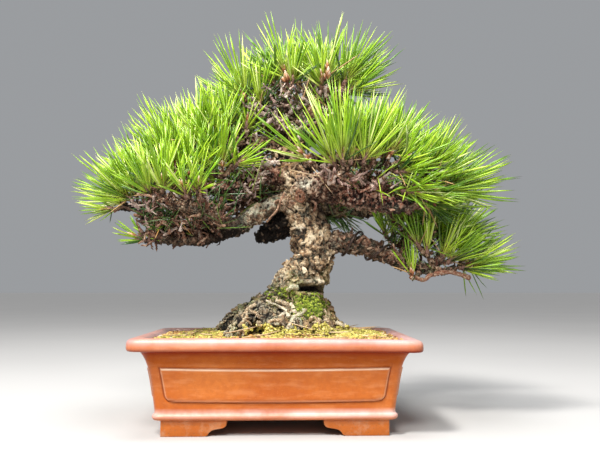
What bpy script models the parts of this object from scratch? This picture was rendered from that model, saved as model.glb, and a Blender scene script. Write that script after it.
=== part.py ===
# Japanese black pine bonsai, informal upright, in an unglazed rectangular terracotta pot.
# Lengths are in millimetres below and are scaled to metres when a mesh is made.
# Frame: +X to the viewer's right, +Y away from the viewer, +Z up; z = 0 is the plane the feet stand on.
import math
import random

import bmesh
import bpy
from mathutils import Matrix, Vector

for old in list(bpy.data.objects):
    bpy.data.objects.remove(old, do_unlink=True)

MM = 0.001
GAP = 0.35  # clearance kept between touching pieces

# ---- driving dimensions of the pot -------------------------------------------------
RIM_LENGTH = 203.5
RIM_DEPTH = 152.0
POT_HEIGHT = 68.0
FOOT_HEIGHT = 11.0
FLOOR_TOP = 17.0
CORNER_RADIUS = 9.0
DRAIN_RADIUS = 11.0
DRAIN_X = 44.0
POT_X = 0.0
POT_Y = 0.0

# outside of the wall, from the floor up to the lip: (height, inset from the rim's edge)
OUTER = [
    (11.0, 18.4), (11.4, 17.4), (12.3, 16.5), (14.4, 16.3), (15.5, 17.2), (16.4, 17.7),
    (24.0, 16.9), (32.0, 15.9), (40.0, 14.7), (47.5, 13.1), (53.0, 11.3), (57.0, 9.2), (58.9, 7.2),
    (59.2, 3.0), (60.0, 0.9), (61.6, 0.0), (63.4, 0.0), (65.8, 1.1), (67.3, 2.7), (68.0, 4.6),
]
# inside of the wall, from the lip down to the floor
INNER = [
    (68.0, 7.4), (67.3, 8.9), (64.0, 12.0), (58.0, 15.6), (48.0, 19.2), (34.0, 21.6), (20.5, 22.4), (17.6, 23.4), (17.0, 26.0),
]

# ---- the tree as drawn in front elevation ------------------------------------------
# A perspective drawing of the tree is 600 wide and 450 high; its eye point and scale are these.
EYE = Vector((2.3, -556.0, 99.6))
EYE_YAW = math.radians(1.69)
EYE_PITCH = math.radians(5.4)
DRAWING_F = 705.0


def seen(u, v, y):
    """The point at depth y that lies under (u, v) of the front elevation."""
    cy, sy = math.cos(EYE_YAW), math.sin(EYE_YAW)
    cp, sp = math.cos(EYE_PITCH), math.sin(EYE_PITCH)
    forward = Vector((sy * cp, cy * cp, sp))
    right = Vector((cy, -sy, 0.0))
    up = right.cross(forward)
    d = forward * DRAWING_F + right * (u - 300.0) + up * (225.0 - v)
    return EYE + d * ((y - EYE.y) / d.y)


# Limbs: name, sides, [(u, v, depth, radius)]; each starts inside the limb that bears it.
TRUNK = [
    (285, 344, 0, 25), (286, 331, 0, 28), (287.5, 321, 0, 26.5), (291, 312, 0, 24.8), (294.5, 304, 0, 23.4), (296.8, 296, 0, 22.2), (299.5, 287, 0, 20.6),
    (306, 275, 0, 18.6), (312.5, 263, 0, 16.6), (315, 252, 0, 16.2), (312, 241, 0, 16.0), (309.5, 231, 0, 15.0),
    (306, 221, 0, 13.8), (301, 210, 0, 13.4), (298, 199, 1, 12.8), (296, 187, 2, 12.0), (292, 174, 3, 11.2),
    (288, 159, 3, 10.4), (288, 145, 3, 9.8), (295, 131, 3, 8.8), (307, 118, 3, 7.6), (318, 106, 2, 6.2),
    (325, 95, 0, 4.6), (328, 87, -2, 3.2), (328, 81, -4, 2.2),
]
ROOTS = {
    "root_front_left": [(288, 300, -8, 11), (266, 309, -18, 8.4), (249, 319, -26, 6.6), (236, 328, -32, 5.2), (225, 340, -36, 4)],
    "root_left": [(286, 300, 0, 12), (262, 306, 0, 8.2), (246, 312, 0, 6.8), (234, 320, 3, 5.6), (224, 330, 6, 4.6), (214, 342, 8, 3.6)],
    "root_front": [(292, 304, -10, 9), (281, 315, -24, 6.6), (272, 328, -34, 5.2), (266, 342, -40, 4)],
    "root_front_mid": [(299, 304, -12, 8), (299, 315, -27, 6), (294, 328, -37, 5), (292, 342, -42, 4)],
    "root_front_right": [(305, 304, -8, 9), (313, 315, -23, 6.6), (319, 328, -33, 5.4), (325, 343, -38, 4)],
    "root_right": [(304, 300, 0, 12), (318, 309, -2, 8.2), (327, 317, -3, 6.2), (337, 325, -4, 4.6), (348, 331, -4, 3.8), (358, 342, -4, 3.0)],
    "root_back_right": [(300, 306, 4, 11), (316, 316, 20, 8), (330, 325, 34, 6), (342, 336, 46, 4)],
    "root_back_left": [(286, 306, 4, 11), (268, 316, 22, 8), (254, 325, 36, 6), (242, 336, 48, 4)],
}
LIMBS = {
    # low left branch and its forks
    "left": [(300, 211, 0, 10), (284, 203, -4, 7.6), (268, 208, -8, 6.6), (253, 217, -11, 6.4), (238, 227, -13, 6.4), (220, 233, -14, 6.4),
             (200, 235, -14, 6.2), (180, 234, -12, 5.6), (163, 230, -10, 4.8), (148, 221, -9, 3.8), (138, 209, -9, 2.8)],
    "left_under": [(222, 234, -14, 5), (206, 239, -22, 4.6), (188, 241, -26, 4), (170, 241, -24, 3.2), (156, 240, -18, 2.4), (147, 240, -12, 1.8)],
    "left_front": [(236, 229, -13, 6), (222, 222, -28, 5.4), (205, 214, -42, 4.8), (188, 207, -50, 4), (170, 204, -50, 3.2), (156, 201, -46, 2.4)],
    "left_back": [(240, 228, -13, 6), (222, 222, 6, 5.4), (200, 214, 26, 4.8), (180, 208, 42, 4), (162, 203, 50, 3), (148, 200, 52, 2.2)],
    "under_stub": [(298, 212, 5, 9), (287, 221, 9, 10.5), (277, 229, 12, 9.5), (267, 235, 14, 7), (258, 239, 16, 3.5)],
    # middle left branch
    "mid_left": [(296, 186, 2, 8), (278, 176, 0, 7), (262, 175, -2, 6.4), (246, 181, -8, 6), (230, 188, -14, 5.2), (212, 189, -20, 4.4), (196, 187, -26, 3.4), (182, 190, -32, 2.4)],
    # upper left branch
    "high_left": [(290, 156, 3, 7), (274, 146, 2, 6), (258, 143, 2, 5.4), (242, 142, 2, 4.8), (226, 146, 2, 4.2), (208, 152, 2, 3.6), (192, 160, 4, 3), (178, 166, 4, 2.2)],
    "high_left_back": [(262, 144, 2, 4.6), (250, 146, 20, 4.2), (236, 152, 38, 3.6), (218, 160, 54, 2.8), (204, 166, 62, 2)],
    # small branches below and in the crown
    "crown_left": [(290, 140, 3, 7), (279, 123, 1, 6), (267, 113, -1, 5), (256, 108, -3, 3.6), (249, 103, -4, 2.4)],
    "crown_mid": [(301, 126, 3, 5), (291, 112, -2, 4.4), (285, 98, -6, 3.4), (283, 86, -8, 2.2)],
    "crown_back": [(305, 120, 4, 5), (304, 110, 16, 4.2), (306, 99, 26, 3.2), (310, 88, 32, 2.2)],
    "crown_right": [(317, 107, 2, 4.6), (328, 105, -2, 3.8), (338, 99, -4, 3), (345, 91, -4, 2.2)],
    # front right branch, the heavy horizontal one
    "right": [(300, 190, 0, 12), (311, 187, -11, 12.2), (324, 190, -18, 10.4), (342, 194, -25, 9.0), (360, 198, -30, 8.0), (378, 202, -33, 7.2),
              (396, 205, -34, 6.2), (412, 204, -34, 5.2), (427, 199, -32, 4), (440, 193, -30, 2.6)],
    "right_front": [(334, 191, -22, 6), (336, 184, -34, 5), (340, 178, -43, 3.8), (341, 173, -47, 2.6)],
    "right_back": [(298, 168, 3, 7), (314, 163, 12, 6.4), (332, 160, 22, 5.8), (352, 160, 30, 5), (372, 163, 34, 4.2), (392, 168, 34, 3.2), (408, 172, 32, 2.2)],
    # low right branch
    "low_right": [(314, 247, 0, 12), (328, 243, -3, 8.8), (342, 242, -5, 8.2), (356, 244, -6, 7.8), (370, 248, -7, 7.2), (384, 255, -8, 6.4),
                  (397, 261, -9, 5.6), (411, 265, -10, 5.0), (425, 269, -10, 4.4), (440, 271, -9, 3.6), (454, 270, -7, 3)],
    "low_right_up": [(403, 263, -9, 4.2), (404, 250, 0, 4.0), (406, 237, 8, 3.5), (411, 228, 14, 2.6)],
    "low_right_out": [(430, 269, -10, 4), (438, 259, 0, 3.6), (446, 250, 10, 3), (451, 243, 14, 2.2)],
    # branches that grow away from the viewer
    "back_right": [(304, 206, 4, 9), (318, 205, 24, 7.4), (336, 209, 42, 6.2), (356, 212, 56, 5), (376, 213, 64, 3.6), (392, 212, 68, 2.4)],
    "back_left": [(294, 192, 6, 8.6), (280, 191, 24, 7), (262, 193, 42, 5.8), (244, 195, 56, 4.6), (226, 195, 66, 3.2), (212, 193, 70, 2.2)],
    "back_high": [(291, 150, 8, 7), (297, 145, 26, 6), (306, 142, 44, 4.8), (314, 140, 58, 3.4), (318, 138, 66, 2.2)],
}

# Foliage. Each clump of needles: the limb that bears it, its hub (u, v, depth), and its shoots. A shoot is its foot
# (u, v, depth), its lean (right, away, up), the needles' length, the pairs of needles, and how wide they spread, in degrees.
CLUMPS = {
    "needles_crown_a": ("crown_mid", (285, 84, -6), [
        ((286.5, 79, -7), (-0.26, -0.05, 1.0), 46, 34, 36), ((276, 86, 2), (-0.62, 0.15, 0.8), 40, 26, 36),
        ((281, 84, 10), (-0.25, 0.45, 0.9), 42, 26, 36), ((292, 85, -10), (0.12, -0.3, 0.95), 36, 20, 30)]),
    "needles_crown_b": ("trunk", (328, 84, -5), [
        ((327.5, 78, -9), (0.0, -0.1, 1.0), 47, 34, 34), ((318, 85, 4), (-0.22, 0.15, 1.0), 42, 24, 30),
        ((331, 85, 8), (0.15, 0.4, 0.9), 42, 26, 34), ((322, 88, -12), (-0.1, -0.45, 0.85), 34, 18, 30)]),
    "needles_crown_c": ("crown_right", (346, 91, -4), [
        ((344, 83, -5), (0.55, -0.05, 0.9), 47, 34, 30), ((349, 92, -3), (0.85, -0.05, 0.6), 42, 26, 28),
        ((350, 88, 10), (0.5, 0.5, 0.75), 42, 26, 34)]),
    "needles_crown_left": ("crown_left", (250, 105, -3), [
        ((246, 100, -5), (-0.38, -0.05, 1.0), 47, 32, 30), ((260, 106, -8), (0.05, -0.15, 1.0), 37, 24, 28),
        ((241, 106, 4), (-0.75, 0.2, 0.65), 40, 24, 32), ((255, 103, 12), (-0.1, 0.5, 0.9), 40, 26, 34)]),
    "needles_crown_d": ("crown_back", (304, 90, 28), [
        ((300, 85, 26), (-0.25, 0.15, 1.0), 42, 28, 36), ((310, 84, 38), (0.0, 0.5, 0.9), 40, 28, 38), ((312, 92, 22), (0.1, 0.0, 1.0), 38, 22, 30)]),
    "needles_crown_e": ("crown_back", (336, 95, 34), [
        ((332, 88, 34), (0.2, 0.35, 0.95), 42, 28, 36), ((346, 96, 34), (0.65, 0.45, 0.7), 40, 26, 36), ((340, 92, 22), (0.4, 0.1, 0.95), 40, 22, 32)]),
    "needles_high_left_d": ("high_left", (246, 136, -6), [
        ((246, 131, -6), (0.15, -0.15, 1.0), 27, 18, 34), ((238, 128, 2), (-0.1, 0.2, 1.0), 32, 20, 34)]),
    "needles_high_left_c": ("high_left", (224, 138, -6), [
        ((228, 129, -10), (-0.05, -0.15, 1.0), 34, 26, 34), ((217, 139, -12), (-0.12, -0.2, 1.0), 40, 28, 34),
        ((214, 134, 2), (-0.15, 0.15, 1.0), 36, 24, 34)]),
    "needles_high_left_b": ("high_left", (198, 150, -2), [
        ((200, 144, -6), (-0.15, -0.1, 1.0), 42, 30, 34), ((208, 151, -16), (0.0, -0.4, 0.9), 37, 24, 34),
        ((189, 150, 2), (-0.4, 0.1, 0.95), 44, 30, 32), ((196, 146, 12), (-0.15, 0.4, 0.9), 38, 24, 34)]),
    "needles_high_left_a": ("high_left", (172, 165, 2), [
        ((175, 158, -3), (-0.5, -0.05, 0.9), 46, 32, 32), ((164, 167, -7), (-0.68, -0.15, 0.75), 43, 28, 32),
        ((180, 160, 10), (-0.3, 0.4, 0.9), 40, 26, 34), ((170, 170, -14), (-0.3, -0.4, 0.85), 38, 22, 32)]),
    "needles_left_mid_a": ("mid_left", (224, 174, -20), [
        ((222, 168, -25), (0.05, -0.3, 1.0), 40, 28, 34), ((233, 167, -24), (0.72, -0.2, 0.5), 34, 12, 42), ((212, 172, -20), (-0.1, -0.2, 1.0), 38, 24, 32)]),
    "needles_left_mid_b": ("mid_left", (190, 182, -22), [
        ((191, 177, -26), (0.12, -0.35, 0.95), 42, 32, 40), ((177, 174, -16), (-0.2, -0.15, 1.0), 42, 28, 32), ((199, 171, -12), (0.0, -0.1, 1.0), 38, 24, 32)]),
    "needles_left_front_a": ("left_front", (164, 199, -46), [
        ((163, 192, -48), (0.0, -0.35, 0.95), 40, 30, 38), ((151, 196, -44), (-0.4, -0.3, 0.85), 40, 26, 34), ((172, 193, -38), (0.15, -0.1, 1.0), 38, 22, 34)]),
    "needles_left_front_b": ("left_front", (196, 204, -46), [
        ((198, 193, -50), (0.1, -0.5, 0.85), 30, 18, 40), ((186, 196, -56), (-0.15, -0.6, 0.75), 30, 16, 38)]),
    "needles_left_tip": ("left", (132, 206, -9), [
        ((131, 200, -12), (-0.78, -0.15, 0.62), 44, 34, 34), ((137, 197, -9), (-0.38, -0.15, 1.0), 43, 30, 32),
        ((114, 209, -9), (-1.0, -0.05, 0.02), 25, 11, 22), ((124, 204, 2), (-0.85, 0.3, 0.4), 38, 24, 30)]),
    "needles_left_centre": ("left", (152, 196, 2), [
        ((150, 190, 0), (-0.38, 0.05, 1.0), 43, 28, 32), ((142, 189, 10), (-0.55, 0.3, 0.8), 40, 26, 32), ((160, 190, 10), (-0.15, 0.2, 1.0), 40, 24, 32)]),
    "needles_left_low": ("left_under", (147, 241, -12), [
        ((145, 240, -12), (-0.85, -0.1, 0.32), 24, 8, 30), ((150, 240, -14), (0.1, -0.3, 0.6), 18, 6, 50)]),
    "needles_left_back_a": ("left_back", (150, 193, 48), [
        ((148, 190, 48), (-0.55, 0.2, 0.8), 38, 28, 36), ((156, 184, 54), (-0.3, 0.5, 0.85), 36, 26, 36), ((140, 194, 40), (-0.8, 0.15, 0.5), 36, 24, 34)]),
    "needles_left_back_b": ("left_back", (186, 192, 46), [
        ((186, 186, 46), (-0.1, 0.2, 1.0), 38, 28, 36), ((196, 188, 56), (0.05, 0.6, 0.75), 36, 26, 38), ((174, 184, 40), (-0.3, 0.1, 1.0), 36, 24, 34)]),
    "needles_high_left_e": ("high_left_back", (204, 156, 56), [
        ((204, 151, 56), (-0.2, 0.3, 1.0), 38, 28, 36), ((192, 156, 62), (-0.5, 0.5, 0.75), 36, 26, 36), ((196, 150, 46), (-0.4, 0.1, 0.95), 36, 24, 34)]),
    "needles_high_left_f": ("high_left_back", (238, 144, 42), [
        ((238, 138, 42), (-0.05, 0.2, 1.0), 38, 28, 36), ((228, 138, 52), (-0.2, 0.5, 0.85), 36, 26, 36), ((248, 138, 36), (0.1, 0.1, 1.0), 36, 22, 34)]),
    "needles_right_front_a": ("right_front", (314, 165, -38), [
        ((310, 160, -43), (-0.72, -0.35, 0.6), 43, 12, 40)]),
    "needles_right_front_b": ("right_front", (343, 170, -47), [
        ((343, 163, -52), (-0.14, -0.25, 1.0), 55, 30, 30), ((335, 165, -46), (-0.45, -0.3, 0.85), 49, 24, 28), ((351, 162, -47), (0.1, -0.15, 1.0), 54, 32, 22)]),
    "needles_right_front_c": ("right", (366, 168, -42), [
        ((364, 161, -47), (0.38, -0.2, 0.95), 49, 34, 26), ((373, 162, -40), (0.3, 0.0, 1.0), 46, 28, 28), ((360, 160, -36), (0.1, 0.1, 1.0), 48, 28, 26)]),
    "needles_right_front_d": ("right", (391, 163, -36), [
        ((389, 156, -38), (0.58, -0.15, 0.8), 46, 34, 30), ((383, 158, -30), (0.35, 0.1, 0.95), 42, 24, 30), ((398, 163, -42), (0.62, -0.45, 0.35), 36, 16, 34), ((397, 172, -42), (0.78, -0.35, 0.0), 34, 18, 36)]),
    "needles_right_front_e": ("right", (408, 182, -36), [
        ((408, 175, -38), (0.5, -0.3, 0.75), 40, 28, 34), ((400, 172, -28), (0.4, 0.05, 0.95), 38, 22, 32), ((411, 186, -42), (0.65, -0.6, 0.15), 32, 16, 38), ((404, 191, -40), (0.72, -0.42, -0.12), 29, 16, 38)]),
    "needles_right_tip_a": ("right", (428, 180, -30), [
        ((426, 172, -32), (0.68, -0.1, 0.7), 42, 30, 30), ((433, 180, -36), (0.8, -0.3, 0.4), 41, 24, 30), ((420, 168, -18), (0.5, 0.3, 0.85), 40, 24, 32)]),
    "needles_right_tip_b": ("right", (443, 190, -30), [
        ((447, 186, -31), (0.93, -0.1, 0.35), 49, 28, 22), ((445, 191, -29), (0.97, -0.1, -0.05), 46, 20, 20), ((440, 186, -20), (0.8, 0.3, 0.45), 42, 22, 28), ((425, 193, -36), (0.85, -0.35, -0.1), 36, 20, 32)]),
    "needles_right_back_a": ("right_back", (354, 152, 26), [
        ((352, 146, 24), (0.1, 0.05, 1.0), 38, 28, 36), ((364, 146, 34), (0.3, 0.45, 0.85), 36, 26, 36), ((342, 148, 32), (-0.15, 0.35, 1.0), 36, 24, 34)]),
    "needles_right_back_b": ("right_back", (388, 154, 20), [
        ((388, 148, 18), (0.4, 0.0, 0.95), 38, 28, 34), ((398, 152, 28), (0.6, 0.35, 0.75), 36, 26, 36), ((378, 148, 28), (0.2, 0.3, 0.95), 36, 24, 34)]),
    "needles_right_back_c": ("right_back", (412, 172, 30), [
        ((414, 167, 28), (0.7, 0.1, 0.7), 38, 28, 34), ((420, 172, 36), (0.75, 0.45, 0.5), 36, 26, 36), ((406, 166, 38), (0.4, 0.6, 0.7), 36, 24, 34)]),
    "needles_low_right_tip": ("low_right", (461, 267, -6), [
        ((466, 265, -7), (0.95, -0.1, 0.14), 40, 34, 32), ((462, 261, 3), (0.82, 0.3, 0.4), 38, 26, 32), ((461, 268, -10), (0.9, -0.3, -0.12), 33, 14, 26)]),
    "needles_low_right_under": ("low_right", (413, 279, -18), [
        ((412, 276, -19), (-0.15, -0.1, 1.0), 26, 9, 26)]),
    "needles_low_right_a": ("low_right", (432, 258, -13), [
        ((427, 252, -15), (0.02, -0.1, 1.0), 32, 12, 16), ((441, 258, -12), (0.45, -0.15, 0.85), 36, 24, 34),
        ((449, 262, -11), (0.7, -0.25, 0.55), 35, 20, 32), ((420, 248, -12), (-0.5, -0.1, 0.8), 32, 9, 26)]),
    "needles_low_right_b": ("low_right_out", (450, 242, 10), [
        ((454, 240, 6), (0.88, 0.0, 0.28), 36, 26, 30), ((444, 248, 2), (0.5, -0.25, 0.8), 34, 24, 34), ((446, 236, 12), (0.5, 0.2, 0.8), 34, 24, 34), ((456, 234, 16), (0.8, 0.35, 0.45), 34, 24, 34), ((437, 233, 4), (0.6, -0.3, 0.5), 33, 20, 40)]),
    "needles_low_right_c": ("low_right_up", (418, 226, 12), [
        ((426, 227, 8), (0.5, -0.1, 0.85), 36, 26, 34), ((414, 226, 16), (0.0, 0.25, 1.0), 32, 22, 34),
        ((409, 240, 2), (0.1, -0.25, 1.0), 34, 22, 30), ((421, 240, 4), (0.5, -0.2, 0.8), 36, 22, 32), ((401, 224, 8), (0.1, -0.2, 0.95), 30, 18, 36)]),
    "needles_low_right_e": ("right", (438, 205, -14), [
        ((438, 208, -12), (0.85, -0.15, 0.3), 38, 24, 32), ((418, 207, -20), (0.45, -0.4, 0.3), 34, 20, 44), ((430, 212, -14), (0.6, -0.3, 0.35), 34, 18, 40), ((432, 204, -4), (0.5, 0.3, 0.6), 34, 20, 36), ((424, 201, -24), (0.75, -0.4, -0.22), 33, 18, 38)]),
    "needles_low_right_d": ("low_right_up", (388, 238, 10), [
        ((386, 236, 8), (-0.3, -0.05, 0.95), 24, 16, 36), ((394, 232, 16), (0.1, 0.2, 1.0), 28, 18, 36)]),
    "needles_back_right_a": ("back_right", (394, 210, 66), [
        ((396, 207, 66), (0.55, 0.3, 0.75), 36, 26, 36), ((402, 210, 72), (0.6, 0.6, 0.5), 34, 24, 36), ((386, 206, 72), (0.25, 0.7, 0.7), 34, 24, 36)]),
    "needles_back_right_b": ("back_right", (350, 207, 62), [
        ((350, 203, 62), (0.1, 0.35, 0.9), 34, 26, 38), ((360, 205, 70), (0.25, 0.75, 0.6), 34, 24, 36), ((340, 206, 68), (-0.2, 0.7, 0.7), 34, 24, 36),
        ((334, 210, 50), (0.6, -0.3, -0.42), 32, 16, 36), ((322, 207, 44), (0.25, -0.3, -0.5), 26, 12, 36)]),
    "needles_back_left_a": ("back_left", (214, 192, 74), [
        ((214, 189, 72), (-0.35, 0.35, 0.85), 36, 26, 36), ((206, 192, 78), (-0.6, 0.6, 0.5), 34, 24, 36), ((224, 190, 80), (-0.1, 0.8, 0.6), 34, 24, 36)]),
    "needles_back_left_b": ("back_left", (258, 191, 62), [
        ((260, 188, 62), (0.0, 0.4, 0.9), 34, 26, 38), ((250, 190, 70), (-0.25, 0.75, 0.6), 34, 24, 36), ((268, 190, 70), (0.2, 0.8, 0.6), 34, 24, 36),
        ((266, 192, 46), (-0.3, -0.4, 0.1), 28, 16, 44), ((248, 195, 48), (-0.5, -0.4, -0.2), 26, 14, 40)]),
    "needles_back_high": ("back_high", (320, 138, 68), [
        ((320, 134, 68), (0.1, 0.35, 0.95), 38, 28, 36), ((330, 136, 74), (0.4, 0.7, 0.7), 36, 24, 36), ((310, 136, 76), (-0.25, 0.75, 0.7), 36, 24, 36)]),
}


# ---- mesh helpers -------------------------------------------------------------------
def material(name, colour, roughness=0.8, metallic=0.0):
    m = bpy.data.materials.new(name)
    m.use_nodes = True
    b = m.node_tree.nodes["Principled BSDF"]
    b.inputs["Base Color"].default_value = (*colour, 1.0)
    b.inputs["Roughness"].default_value = roughness
    b.inputs["Metallic"].default_value = metallic
    return m


def new_object(name, bm, mat=None, helper=False):
    bmesh.ops.recalc_face_normals(bm, faces=bm.faces)
    bm.transform(Matrix.Scale(MM, 4))
    me = bpy.data.meshes.new(name)
    bm.to_mesh(me)
    bm.free()
    ob = bpy.data.objects.new(name, me)
    bpy.context.scene.collection.objects.link(ob)
    if mat:
        me.materials.append(mat)
    if helper:
        ob.hide_render = True
        ob.display_type = "WIRE"
    return ob


def rings_to_bm(rings, cap_start=True, cap_end=True, bm=None):
    """Skins a list of rings, each a list of points in the same order, into one closed body."""
    bm = bm or bmesh.new()
    made = [[bm.verts.new(p) for p in ring] for ring in rings]
    n = len(rings[0])
    for a, b in zip(made, made[1:]):
        for i in range(n):
            bm.faces.new((a[i], a[(i + 1) % n], b[(i + 1) % n], b[i]))
    if cap_start:
        bm.faces.new(list(reversed(made[0])))
    if cap_end:
        bm.faces.new(made[-1])
    return bm


def smooth_line(points, step):
    """Catmull-Rom through (vector, radius) pairs, sampled about every step millimetres."""
    pts = [points[0]] + list(points) + [points[-1]]
    fine = []
    for i in range(1, len(pts) - 2):
        p0, p1, p2, p3 = (Vector((*pts[k][0], pts[k][1])) for k in (i - 1, i, i + 1, i + 2))
        for k in range(12):
            t = k / 12
            q = 0.5 * ((2 * p1) + (p2 - p0) * t + (2 * p0 - 5 * p1 + 4 * p2 - p3) * t * t + (3 * p1 - p0 - 3 * p2 + p3) * t ** 3)
            fine.append((q.xyz, q.w))
    fine.append((Vector(points[-1][0]), points[-1][1]))
    length = sum((b[0] - a[0]).length for a, b in zip(fine, fine[1:]))
    count = max(2, round(length / step))
    out, run, k = [fine[0]], 0.0, 1
    for a, b in zip(fine, fine[1:]):
        d = (b[0] - a[0]).length
        while k < count and run + d >= length * k / count:
            s = (length * k / count - run) / d
            out.append((a[0].lerp(b[0], s), a[1] + (b[1] - a[1]) * s))
            k += 1
        run += d
    out.append(fine[-1])
    return out


def tube_bm(line, sides, grow=0.0, lumps=0.0, seed=0):
    """A tapering limb: rings square to the line, closed by a short cone at each end."""
    rng = random.Random(seed)
    phase = [rng.uniform(0, 6.28) for _ in range(3)]
    rings = []
    normal = None
    for i, (p, r) in enumerate(line):
        a = line[max(0, i - 1)][0]
        b = line[min(len(line) - 1, i + 1)][0]
        t = (b - a).normalized()
        if normal is None:
            normal = t.orthogonal().normalized()
        normal = (normal - t * normal.dot(t)).normalized()
        side = t.cross(normal)
        ring = []
        for k in range(sides):
            th = 2 * math.pi * k / sides
            rr = r * (1 + lumps * (math.sin(2 * th + phase[0] + i * 0.35) + 0.7 * math.sin(3 * th + phase[1] - i * 0.5))) + grow
            ring.append(p + (normal * math.cos(th) + side * math.sin(th)) * rr)
        rings.append(ring)
    bm = bmesh.new()
    made = [[bm.verts.new(q) for q in ring] for ring in rings]
    for a, b in zip(made, made[1:]):
        for k in range(sides):
            bm.faces.new((a[k], a[(k + 1) % sides], b[(k + 1) % sides]))
            bm.faces.new((a[k], b[(k + 1) % sides], b[k]))
    t0 = (line[0][0] - line[1][0]).normalized()
    t1 = (line[-1][0] - line[-2][0]).normalized()
    s = bm.verts.new(line[0][0] + t0 * (line[0][1] * 0.35 + grow))
    e = bm.verts.new(line[-1][0] + t1 * (line[-1][1] * 0.5 + grow))
    for k in range(sides):
        bm.faces.new((made[0][(k + 1) % sides], made[0][k], s))
        bm.faces.new((made[-1][k], made[-1][(k + 1) % sides], e))
    return bm


def boolean(target, operation, others, name="join"):
    """Applies one exact Boolean of target with each of others."""
    group = bpy.data.collections.new(name)
    for o in others:
        group.objects.link(o)
    m = target.modifiers.new(name, "BOOLEAN")
    m.operation = operation
    m.solver = "EXACT"
    m.operand_type = "COLLECTION"
    m.collection = group
    apply_modifiers(target)
    bpy.data.collections.remove(group)


def apply_modifiers(ob):
    bpy.context.view_layer.update()
    graph = bpy.context.evaluated_depsgraph_get()
    made = bpy.data.meshes.new_from_object(ob.evaluated_get(graph))
    old = ob.data
    ob.modifiers.clear()
    ob.data = made
    bpy.data.meshes.remove(old)


def drop(objects):
    for o in objects:
        bpy.data.objects.remove(o, do_unlink=True)


def keep_largest(ob):
    """Leaves only the largest connected body of a mesh."""
    bm = bmesh.new()
    bm.from_mesh(ob.data)
    left = set(bm.faces)
    groups = []
    while left:
        start = left.pop()
        found, stack = {start}, [start]
        while stack:
            for e in stack.pop().edges:
                for f in e.link_faces:
                    if f not in found:
                        found.add(f)
                        left.discard(f)
                        stack.append(f)
        groups.append(found)

    def size(group):
        total = 0.0
        for f in group:
            vs = f.verts
            for i in range(1, len(vs) - 1):
                total += vs[0].co.dot(vs[i].co.cross(vs[i + 1].co)) / 6
        return total

    groups.sort(key=size, reverse=True)
    for group in groups[1:]:
        bmesh.ops.delete(bm, geom=list(group), context="FACES")
    loose = [v for v in bm.verts if not v.link_faces]
    bmesh.ops.delete(bm, geom=loose, context="VERTS")
    bm.to_mesh(ob.data)
    bm.free()


def smooth(ob, degrees=40):
    ob.data.shade_smooth()
    ob.data.set_sharp_from_angle(angle=math.radians(degrees))


# ---- pot ----------------------------------------------------------------------------
def warp(p):
    """The lip of this hand-pressed pot sags a little at its front right corner."""
    k = max(0.0, min(1.0, (p.z - 50.0) / 14.0))
    a = max(0.0, min(1.0, (p.x - 10.0) / 90.0)) ** 1.6
    b = max(0.0, min(1.0, 0.5 - p.y / RIM_DEPTH))
    return Vector((p.x, p.y, p.z - 1.8 * k * a * b))


def rounded(inset, z, segments=4):
    hx, hy = RIM_LENGTH / 2 - inset, RIM_DEPTH / 2 - inset
    r = max(2.5, CORNER_RADIUS - inset * 0.22)
    ring = []
    for cx, cy, start in ((hx - r, hy - r, 0), (-hx + r, hy - r, 90), (-hx + r, -hy + r, 180), (hx - r, -hy + r, 270)):
        for k in range(segments + 1):
            a = math.radians(start + 90 * k / segments)
            ring.append(warp(Vector((POT_X + cx + r * math.cos(a), POT_Y + cy + r * math.sin(a), z))))
    return ring


def interpolate(table, z):
    for (z0, a), (z1, b) in zip(table, table[1:]):
        if min(z0, z1) <= z <= max(z0, z1) and z0 != z1:
            return a + (b - a) * (z - z0) / (z1 - z0)
    return table[-1][1]


def wall_inset(z):
    return interpolate([p for p in OUTER if 16.4 <= p[0] <= 58.9], z)


def panel(half_top, half_bottom, place, name, columns=6):
    """A raised panel that follows the hollow of the wall: square at the top, rounded at the lower corners.
    place(x, z, proud) gives the point on one wall, proud of its surface."""
    low, high, corner, edge, proud = 24.2, 47.4, 4.6, 1.1, 1.4
    rows = [low, low + 0.35, low + edge, low + 2.6, low + corner, 37.5, high - edge, high - 0.35, high]

    def half(z):
        h = half_bottom + (half_top - half_bottom) * (z - low) / (high - low)
        if z < low + corner:
            k = (low + corner - z) / corner
            h -= corner * (1 - math.sqrt(max(0.0, 1 - k * k)))
        return h

    def lift(z):
        k = min(z - low, high - z)
        return -1.6 if k < 0.3 else (-0.1 if k < edge - 0.1 else proud)

    bm = bmesh.new()
    grid = []
    for z in rows:
        h = half(z)
        xs = [-h, -h + 0.35, -h + edge] + [(-h + edge) + (2 * h - 2 * edge) * k / columns for k in range(1, columns)] + [h - edge, h - 0.35, h]
        line = []
        for i, x in enumerate(xs):
            side = min(i, len(xs) - 1 - i)
            p = min(lift(z), -1.6 if side == 0 else (-0.1 if side == 1 else proud))
            sag = 1.0 * (1 - (x / half_top) ** 2)
            line.append((bm.verts.new(place(x, z - sag, p)), bm.verts.new(place(x, z - sag, -3.0))))
        grid.append(line)
    n = len(grid[0])
    for a, b in zip(grid, grid[1:]):
        for i in range(n - 1):
            bm.faces.new((a[i][0], a[i + 1][0], b[i + 1][0], b[i][0]))
            bm.faces.new((a[i][1], b[i][1], b[i + 1][1], a[i + 1][1]))
        bm.faces.new((a[0][0], b[0][0], b[0][1], a[0][1]))
        bm.faces.new((a[-1][0], a[-1][1], b[-1][1], b[-1][0]))
    for i in range(n - 1):
        bm.faces.new((grid[0][i][0], grid[0][i][1], grid[0][i + 1][1], grid[0][i + 1][0]))
        bm.faces.new((grid[-1][i][0], grid[-1][i + 1][0], grid[-1][i + 1][1], grid[-1][i][1]))
    return new_object(name, bm, helper=True)


def wall_front(x, z, proud):
    return warp(Vector((POT_X + x, POT_Y - (RIM_DEPTH / 2 - wall_inset(z)) - proud, z)))


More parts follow.
